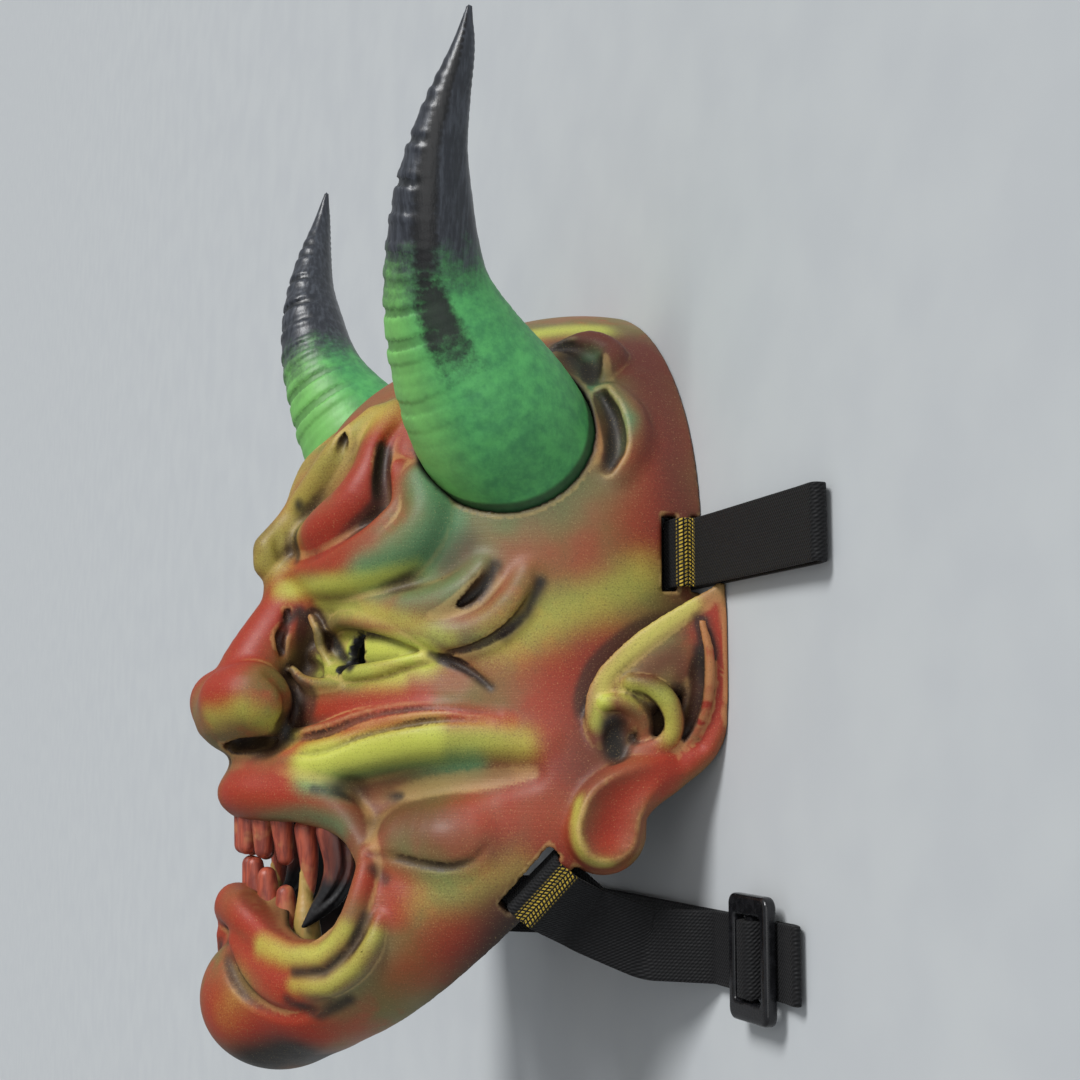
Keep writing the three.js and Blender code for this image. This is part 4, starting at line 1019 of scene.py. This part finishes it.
def horn_material():
    """Bright green root fading through mottled green into charcoal, with a black band down the outside, and
    painted shade in the ring valleys and where the horn meets the skin.
    """
    paint = Finish("painted_horn")
    drift = paint.noise(160, 5, 0.7, seed=2)
    grain = paint.noise(1500, 2, 0.7, seed=4)
    scratch = paint.noise(260, 3, 0.6, (3, 0.4, 3), 6)
    uneven = paint.roughened(paint.layer("run"), drift, 0.16)
    uneven = paint.roughened(uneven, grain, 0.05)
    green = paint.mix(paint.ramp(drift, 0.3, 0.7), tone(88, 178, 98), tone(62, 140, 84))
    lime = paint.ramp(paint.layer("forward"), 0.6, 0.95, 0, 0.55)
    green = paint.mix(lime, green, tone(138, 196, 96))
    charcoal = paint.mix(paint.ramp(scratch, 0.4, 0.7), tone(42, 45, 52), tone(68, 72, 80))
    colour = paint.mix(paint.ramp(uneven, 0.31, 0.48), green, charcoal)
    # the band lies a little in front of the outermost side
    side = paint.times(paint.layer("outward"), 0.9)
    facing = paint.math("MULTIPLY_ADD", paint.layer("forward"), 0.4, side)
    fuzzy = paint.roughened(facing, drift, 0.04)
    band = paint.times(paint.ramp(fuzzy, 1.045, 1.07), paint.ramp(uneven, 0.17, 0.3))
    colour = paint.mix(paint.times(band, 0.95), colour, tone(10, 10, 12))
    # Painted shade in the valleys between the growth rings, on the horn's front
    ringed = paint.ramp(paint.layer("run"), 0.12, 0.3)
    valley = paint.times(paint.ramp(paint.layer("ring"), 0.5, 0.0), ringed)
    valley = paint.times(valley, paint.ramp(paint.layer("forward"), 0.5, 0.9, 0, 0.6))
    colour = paint.mix(valley, colour, tone(20, 24, 22))
    # Painted shade where the horn meets the skin
    colour = paint.mix(paint.ramp(paint.layer("root"), 0.3, 1, 0, 0.8), colour, tone(34, 48, 30))
    roughness = paint.ramp(uneven, 0.3, 0.55, 0.5, 0.34)
    normal = paint.bump(scratch, 0.00018, 0.5)
    normal = paint.bump(grain, 0.00006, 0.5, normal)
    return paint.finish(colour, roughness, normal)


# Teeth and gums

def make_teeth():
    piece = carve("teeth_and_gums", mouth_set, (0, -140, 54), (44, -78, 124), TEETH_STEP, True, 60000)
    mesh = piece.data
    places = drawn_places(mesh)
    places[:, 0] = np.abs(places[:, 0])
    on_tooth = 1 - smooth_step(0.1, 1.6, evaluate(teeth, places))
    paint_layer(mesh, "tooth", on_tooth)
    upper = 1 - smooth_step(0.2, 0.6, evaluate(upper_fang, places))
    lower = 1 - smooth_step(0.2, 0.6, evaluate(lower_fang, places))
    back = smooth_step(104, 96, places[:, 2]) * smooth_step(24, 34, places[:, 0])
    paint_layer(mesh, "tip", upper * np.maximum(smooth_step(-99, -110, places[:, 1]), 0.8 * back))
    paint_layer(mesh, "lower_fang", lower)
    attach(piece, "root")
    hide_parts("mask_shell")
    mesh.materials.append(teeth_material())


def teeth_material():
    paint = Finish("painted_teeth")
    drift = paint.noise(120, 3, 0.6, seed=7)
    grain = paint.noise(1500, 2, 0.7)
    streak = paint.noise(300, 3, 0.6, (2, 0.3, 2), 3)
    tooth = paint.mix(paint.ramp(streak, 0.35, 0.65), tone(176, 84, 60), tone(128, 56, 44))
    tooth = paint.mix(paint.ramp(drift, 0.5, 0.7, 0, 0.5), tooth, tone(196, 140, 90))
    gum = paint.mix(paint.ramp(drift, 0.35, 0.65), tone(72, 34, 28), tone(40, 24, 22))
    colour = paint.mix(paint.layer("tooth"), gum, tooth)
    colour = paint.mix(paint.times(paint.layer("lower_fang"), 0.6), colour, tone(178, 166, 84))
    colour = paint.mix(paint.layer("tip"), colour, tone(22, 21, 23))
    normal = paint.bump(streak, 0.0003, 0.5)
    normal = paint.bump(grain, 0.00006, 0.5, normal)
    return paint.finish(colour, paint.ramp(drift, 0.3, 0.7, 0.4, 0.55), normal)


# Straps

def rounded_path(stations, bend, steps=5):
    """Stations (x, y, z, across x, y, z) with every corner rounded."""
    rows = np.asarray(stations, float)
    out = [rows[0]]
    for before, here, after in zip(rows, rows[1:], rows[2:]):
        gap_before = np.linalg.norm(before[:3] - here[:3])
        gap_after = np.linalg.norm(after[:3] - here[:3])
        start = here + (before - here) * min(bend, gap_before * 0.45) / gap_before
        finish = here + (after - here) * min(bend, gap_after * 0.45) / gap_after
        for share in np.linspace(0, 1, steps + 1):
            point = (1 - share) ** 2 * start + 2 * share * (1 - share) * here + share**2 * finish
            point[3:] = here[3:]
            out.append(point)
    out.append(rows[-1])
    return np.array(out)


def spaced(rows, gap):
    """The same path with extra stations on its long runs."""
    out = [rows[0]]
    for a, b in zip(rows, rows[1:]):
        count = max(1, int(math.ceil(np.linalg.norm(b[:3] - a[:3]) / gap)))
        for k in range(1, count + 1):
            out.append(a + (b - a) * k / count)
    return np.array(out)


def make_strap(name, stations, bend, folds, cloth):
    rows = spaced(rounded_path(stations, bend), 1.6)
    half = STRAP_WIDTH / 2
    thick = STRAP_THICKNESS / 2
    edge = 0.35
    nick = 0.1
    face_columns = 17
    section = [(w, thick) for w in np.linspace(-half + edge, half - edge, face_columns)]
    section += [(half - nick, thick - nick), (half, 0), (half - nick, -thick + nick)]
    section += [(w, -thick) for w in np.linspace(half - edge, -half + edge, face_columns)]
    section += [(-half + nick, -thick + nick), (-half, 0), (-half + nick, thick - nick)]
    count = len(section)
    points = []
    along = []
    across = []
    run = 0.0
    last = len(rows) - 1
    for i, row in enumerate(rows):
        a = rows[max(i - 1, 0), :3]
        b = rows[min(i + 1, last), :3]
        tangent = (b - a) / np.linalg.norm(b - a)
        wide = row[3:] - tangent * (row[3:] @ tangent)
        wide /= np.linalg.norm(wide)
        up = np.cross(tangent, wide)
        if i:
            run += np.linalg.norm(row[:3] - rows[i - 1, :3])
        for w, t in section:
            points.append(row[:3] + wide * w + up * t)
            along.append(run)
            across.append(w)
    faces = []
    for i in range(last):
        for k in range(count):
            a = i * count + k
            b = i * count + (k + 1) % count
            faces.append((a, a + count, b + count, b))
    faces.append(tuple(range(count)))
    faces.append(tuple(last * count + k for k in reversed(range(count))))
    piece = add_mesh("fine_" + name, np.array(points), faces)
    mesh = piece.data
    along = np.array(along)
    paint_layer(mesh, "along", along)
    paint_layer(mesh, "across", across)
    nearest = np.full(len(along), 50.0)
    for fold in folds:
        row = np.argmin(np.linalg.norm(rows[:, :3] - fold, axis=1))
        nearest = np.minimum(nearest, np.abs(along - along[row * count]))
    paint_layer(mesh, "fold", nearest)
    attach(piece, "root")
    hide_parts(name)
    mesh.materials.append(cloth)


UP = (0, 1, 0)
UPPER_STRAP = [
    (-65.05, 2.4), (-77.05, 2.4), (-77.05, 9.1), (-87.21, 9.1), (-87.21, 0.7), (154, 0.7), (160, 2.3),
    (160, 5.3), (152, 4.9), (101.21, 4.1), (87.21, 4.1), (87.21, 9.1), (77.05, 9.1), (77.05, 2.4),
    (99.21, 2.4),
]
LOWER_WRAP = [
    (74.56, -115.95, 34.4), (72.37, -108.85, 42.12), (71.81, -103.99, 48.2), (80.36, -106.98, 51.38),
    (80.91, -111.84, 45.31), (76.07, -116.48, 34.96),
]
LOWER_FLOOR = [
    (-54.07, 0.7), (137, 0.7), (142, 2.2), (142, 3.2), (136, 2.4), (126.6, 2.4), (124.85, 8), (119.15, 8),
    (117.4, 2.4), (94.07, 2.4),
]


def make_straps():
    cloth = elastic_material()
    upper_folds = [(-87.2, -13, 6.4), (87.2, -13, 6.4)]
    make_strap("strap_upper", [(x, -13, z, *UP) for x, z in UPPER_STRAP], 1.6, upper_folds, cloth)
    right = [(-x, y, z, -0.45, 0.7, -0.56) for x, y, z in LOWER_WRAP]
    floor_run = [(x, -124, z, *UP) for x, z in LOWER_FLOOR]
    left = [(x, y, z, 0.45, 0.7, -0.56) for x, y, z in reversed(LOWER_WRAP)]
    right_fall = [(-68.07, -124, 17, -0.2, 0.95, -0.24)]
    left_fall = [(81.07, -124, 17, 0.2, 0.95, -0.24)]
    lower_folds = [(-80.7, -109.8, 47.8), (80.7, -109.8, 47.8)]
    make_strap("strap_lower", right + right_fall + floor_run + left_fall + left, 1.7, lower_folds, cloth)


def elastic_material():
    """Black woven elastic: fine twill, ribs along its edges and gold stitches near the folded ends."""
    cloth = Finish("woven_elastic")
    along = cloth.layer("along")
    across = cloth.layer("across")
    diagonal = cloth.math("ADD", along, across)
    twill = cloth.math("SINE", cloth.times(diagonal, 5.2))
    rib = cloth.math("SINE", cloth.times(across, 6.8))
    fuzz = cloth.noise(900, 3, 0.6)
    weave = cloth.math("MULTIPLY_ADD", twill, 0.6, cloth.times(rib, 0.4))
    colour = cloth.mix(cloth.ramp(weave, -0.8, 0.9), tone(5, 5, 6), tone(25, 25, 27))
    colour = cloth.mix(cloth.ramp(fuzz, 0.5, 0.85, 0, 0.3), colour, tone(44, 43, 42))
    fold = cloth.layer("fold")
    line = cloth.math("ABSOLUTE", cloth.math("SINE", cloth.times(fold, 2.6)))
    thread = cloth.ramp(line, 0.35, 0.75)
    slant = cloth.math("MULTIPLY_ADD", fold, 3.0, cloth.times(across, 5.6))
    dash = cloth.ramp(cloth.math("SINE", slant), -0.5, 0.2)
    gold = cloth.times(cloth.times(thread, dash), cloth.ramp(fold, 3.2, 2.4))
    colour = cloth.mix(cloth.times(gold, 0.9), colour, tone(202, 172, 62))
    height = cloth.math("MULTIPLY_ADD", gold, 1.5, weave)
    cloth.shader.inputs["Sheen Weight"].default_value = 0.04
    cloth.shader.inputs["Specular IOR Level"].default_value = 0.25
    cloth.shader.inputs["Sheen Roughness"].default_value = 0.5
    return cloth.finish(colour, cloth.ramp(fuzz, 0.3, 0.7, 0.6, 0.8), cloth.bump(height, 0.00018, 0.6))


# Strap adjuster

ADJUSTER_AT = (122, -124, 5.2)
ADJUSTER = (22, 33, 3.6)
RAIL = 3.6
CORNER = 3.0
WINDOW_CORNER = 0.8


def adjuster_field(points):
    """A flat frame with rounded edges, two windows and a slimmer bar between them."""
    at = np.abs(points - np.array(ADJUSTER_AT, SMALL)).astype(SMALL)
    x, y, z = at.T

    def rounded(past_x, past_y, turn):
        past_x = past_x + turn
        past_y = past_y + turn
        outside = np.hypot(np.maximum(past_x, 0), np.maximum(past_y, 0))
        return outside + np.minimum(np.maximum(past_x, past_y), 0) - turn

    plate = rounded(x - ADJUSTER[0] / 2, y - ADJUSTER[1] / 2, CORNER)
    body = smooth_max(plate, z - ADJUSTER[2] / 2, 1.4)
    width = (ADJUSTER[0] - 3 * RAIL) / 2
    reach = STRAP_WIDTH / 2 + 1
    past_end = y - reach
    window = rounded(np.abs(x - (RAIL + width) / 2) - width / 2, past_end, WINDOW_CORNER)
    body = smooth_max(body, -window, 1.0)
    dip = np.maximum(np.maximum(x - RAIL / 2 - 0.6, past_end), 1.1 - z)
    return smooth_max(body, -dip, 0.6)


def make_adjuster():
    x, y, z = ADJUSTER_AT
    low = (x - 12.5, y - 18, z - 3)
    high = (x + 12.5, y + 18, z + 3)
    piece = carve("fine_adjuster", adjuster_field, low, high, 0.3, False, 30000)
    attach(piece, "root")
    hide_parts("strap_adjuster")
    plastic = Finish("adjuster_plastic")
    haze = plastic.noise(400, 3, 0.6)
    fine = plastic.noise(2600, 2, 0.6, seed=2)
    colour = plastic.mix(plastic.ramp(haze, 0.35, 0.7), tone(17, 17, 19), tone(27, 27, 30))
    normal = plastic.bump(fine, 0.00004, 0.5)
    piece.data.materials.append(plastic.finish(colour, plastic.ramp(haze, 0.3, 0.7, 0.18, 0.32), normal))


# Floor, light and camera

def make_floor():
    half = 9000
    corners = [(-half, -half, 0), (half, -half, 0), (half, half, 0), (-half, half, 0)]
    floor = add_mesh("floor", np.array(corners, float), [(0, 1, 2, 3)])
    paper = Finish("pale_floor")
    tint = paper.noise(30, 3, 0.5)
    colour = paper.mix(paper.ramp(tint, 0.3, 0.7), tone(190, 194, 197), tone(194, 198, 200))
    floor.data.materials.append(paper.finish(colour, paper.ramp(tint, 0.3, 0.7, 0.85, 0.95)))


def make_light(name, place, aim, spread, power):
    light = bpy.data.lights.new(name, "SUN")
    light.angle = math.radians(spread)
    light.energy = power
    lamp = bpy.data.objects.new(name, light)
    lamp.location = place
    towards = Vector(aim) - Vector(place)
    lamp.rotation_euler = towards.to_track_quat("-Z", "Y").to_euler()
    bpy.context.scene.collection.objects.link(lamp)


def make_lights():
    aim = (0, -0.07, 0.03)
    make_light("key_light", (0.45, 1.0, 1.1), aim, 22, 2.6)
    make_light("side_light", (1.2, 0.1, 0.75), aim, 40, 0.45)
    world = bpy.data.worlds.new("studio")
    world.use_nodes = True
    world.node_tree.nodes["Background"].inputs["Color"].default_value = (0.8, 0.83, 0.86, 1)
    world.node_tree.nodes["Background"].inputs["Strength"].default_value = 0.38
    bpy.context.scene.world = world


def make_camera():
    """The photograph's view of the face, rolled so that the face stands upright in the frame."""
    aim = Vector(to_metres((0, 0, 20)))
    turn = math.radians(20)
    tilt = math.radians(-7)
    back = Vector((math.cos(turn) * math.cos(tilt), math.sin(tilt), math.sin(turn) * math.cos(tilt)))
    right = Vector((0, 1, 0)).cross(back).normalized()
    up = back.cross(right)
    data = bpy.data.cameras.new("camera")
    data.lens = 58
    data.sensor_width = 36
    data.clip_end = 60
    camera = bpy.data.objects.new("camera", data)
    spot = aim + back * 0.58
    axes = Matrix((right, up, back)).transposed().to_4x4()
    camera.matrix_world = Matrix.Translation(spot) @ axes
    bpy.context.scene.collection.objects.link(camera)
    bpy.context.scene.camera = camera


make_camera()
make_floor()
make_lights()
bpy.context.scene.view_settings.view_transform = "Standard"
make_skin()
make_teeth()
make_horns()
make_straps()
make_adjuster()
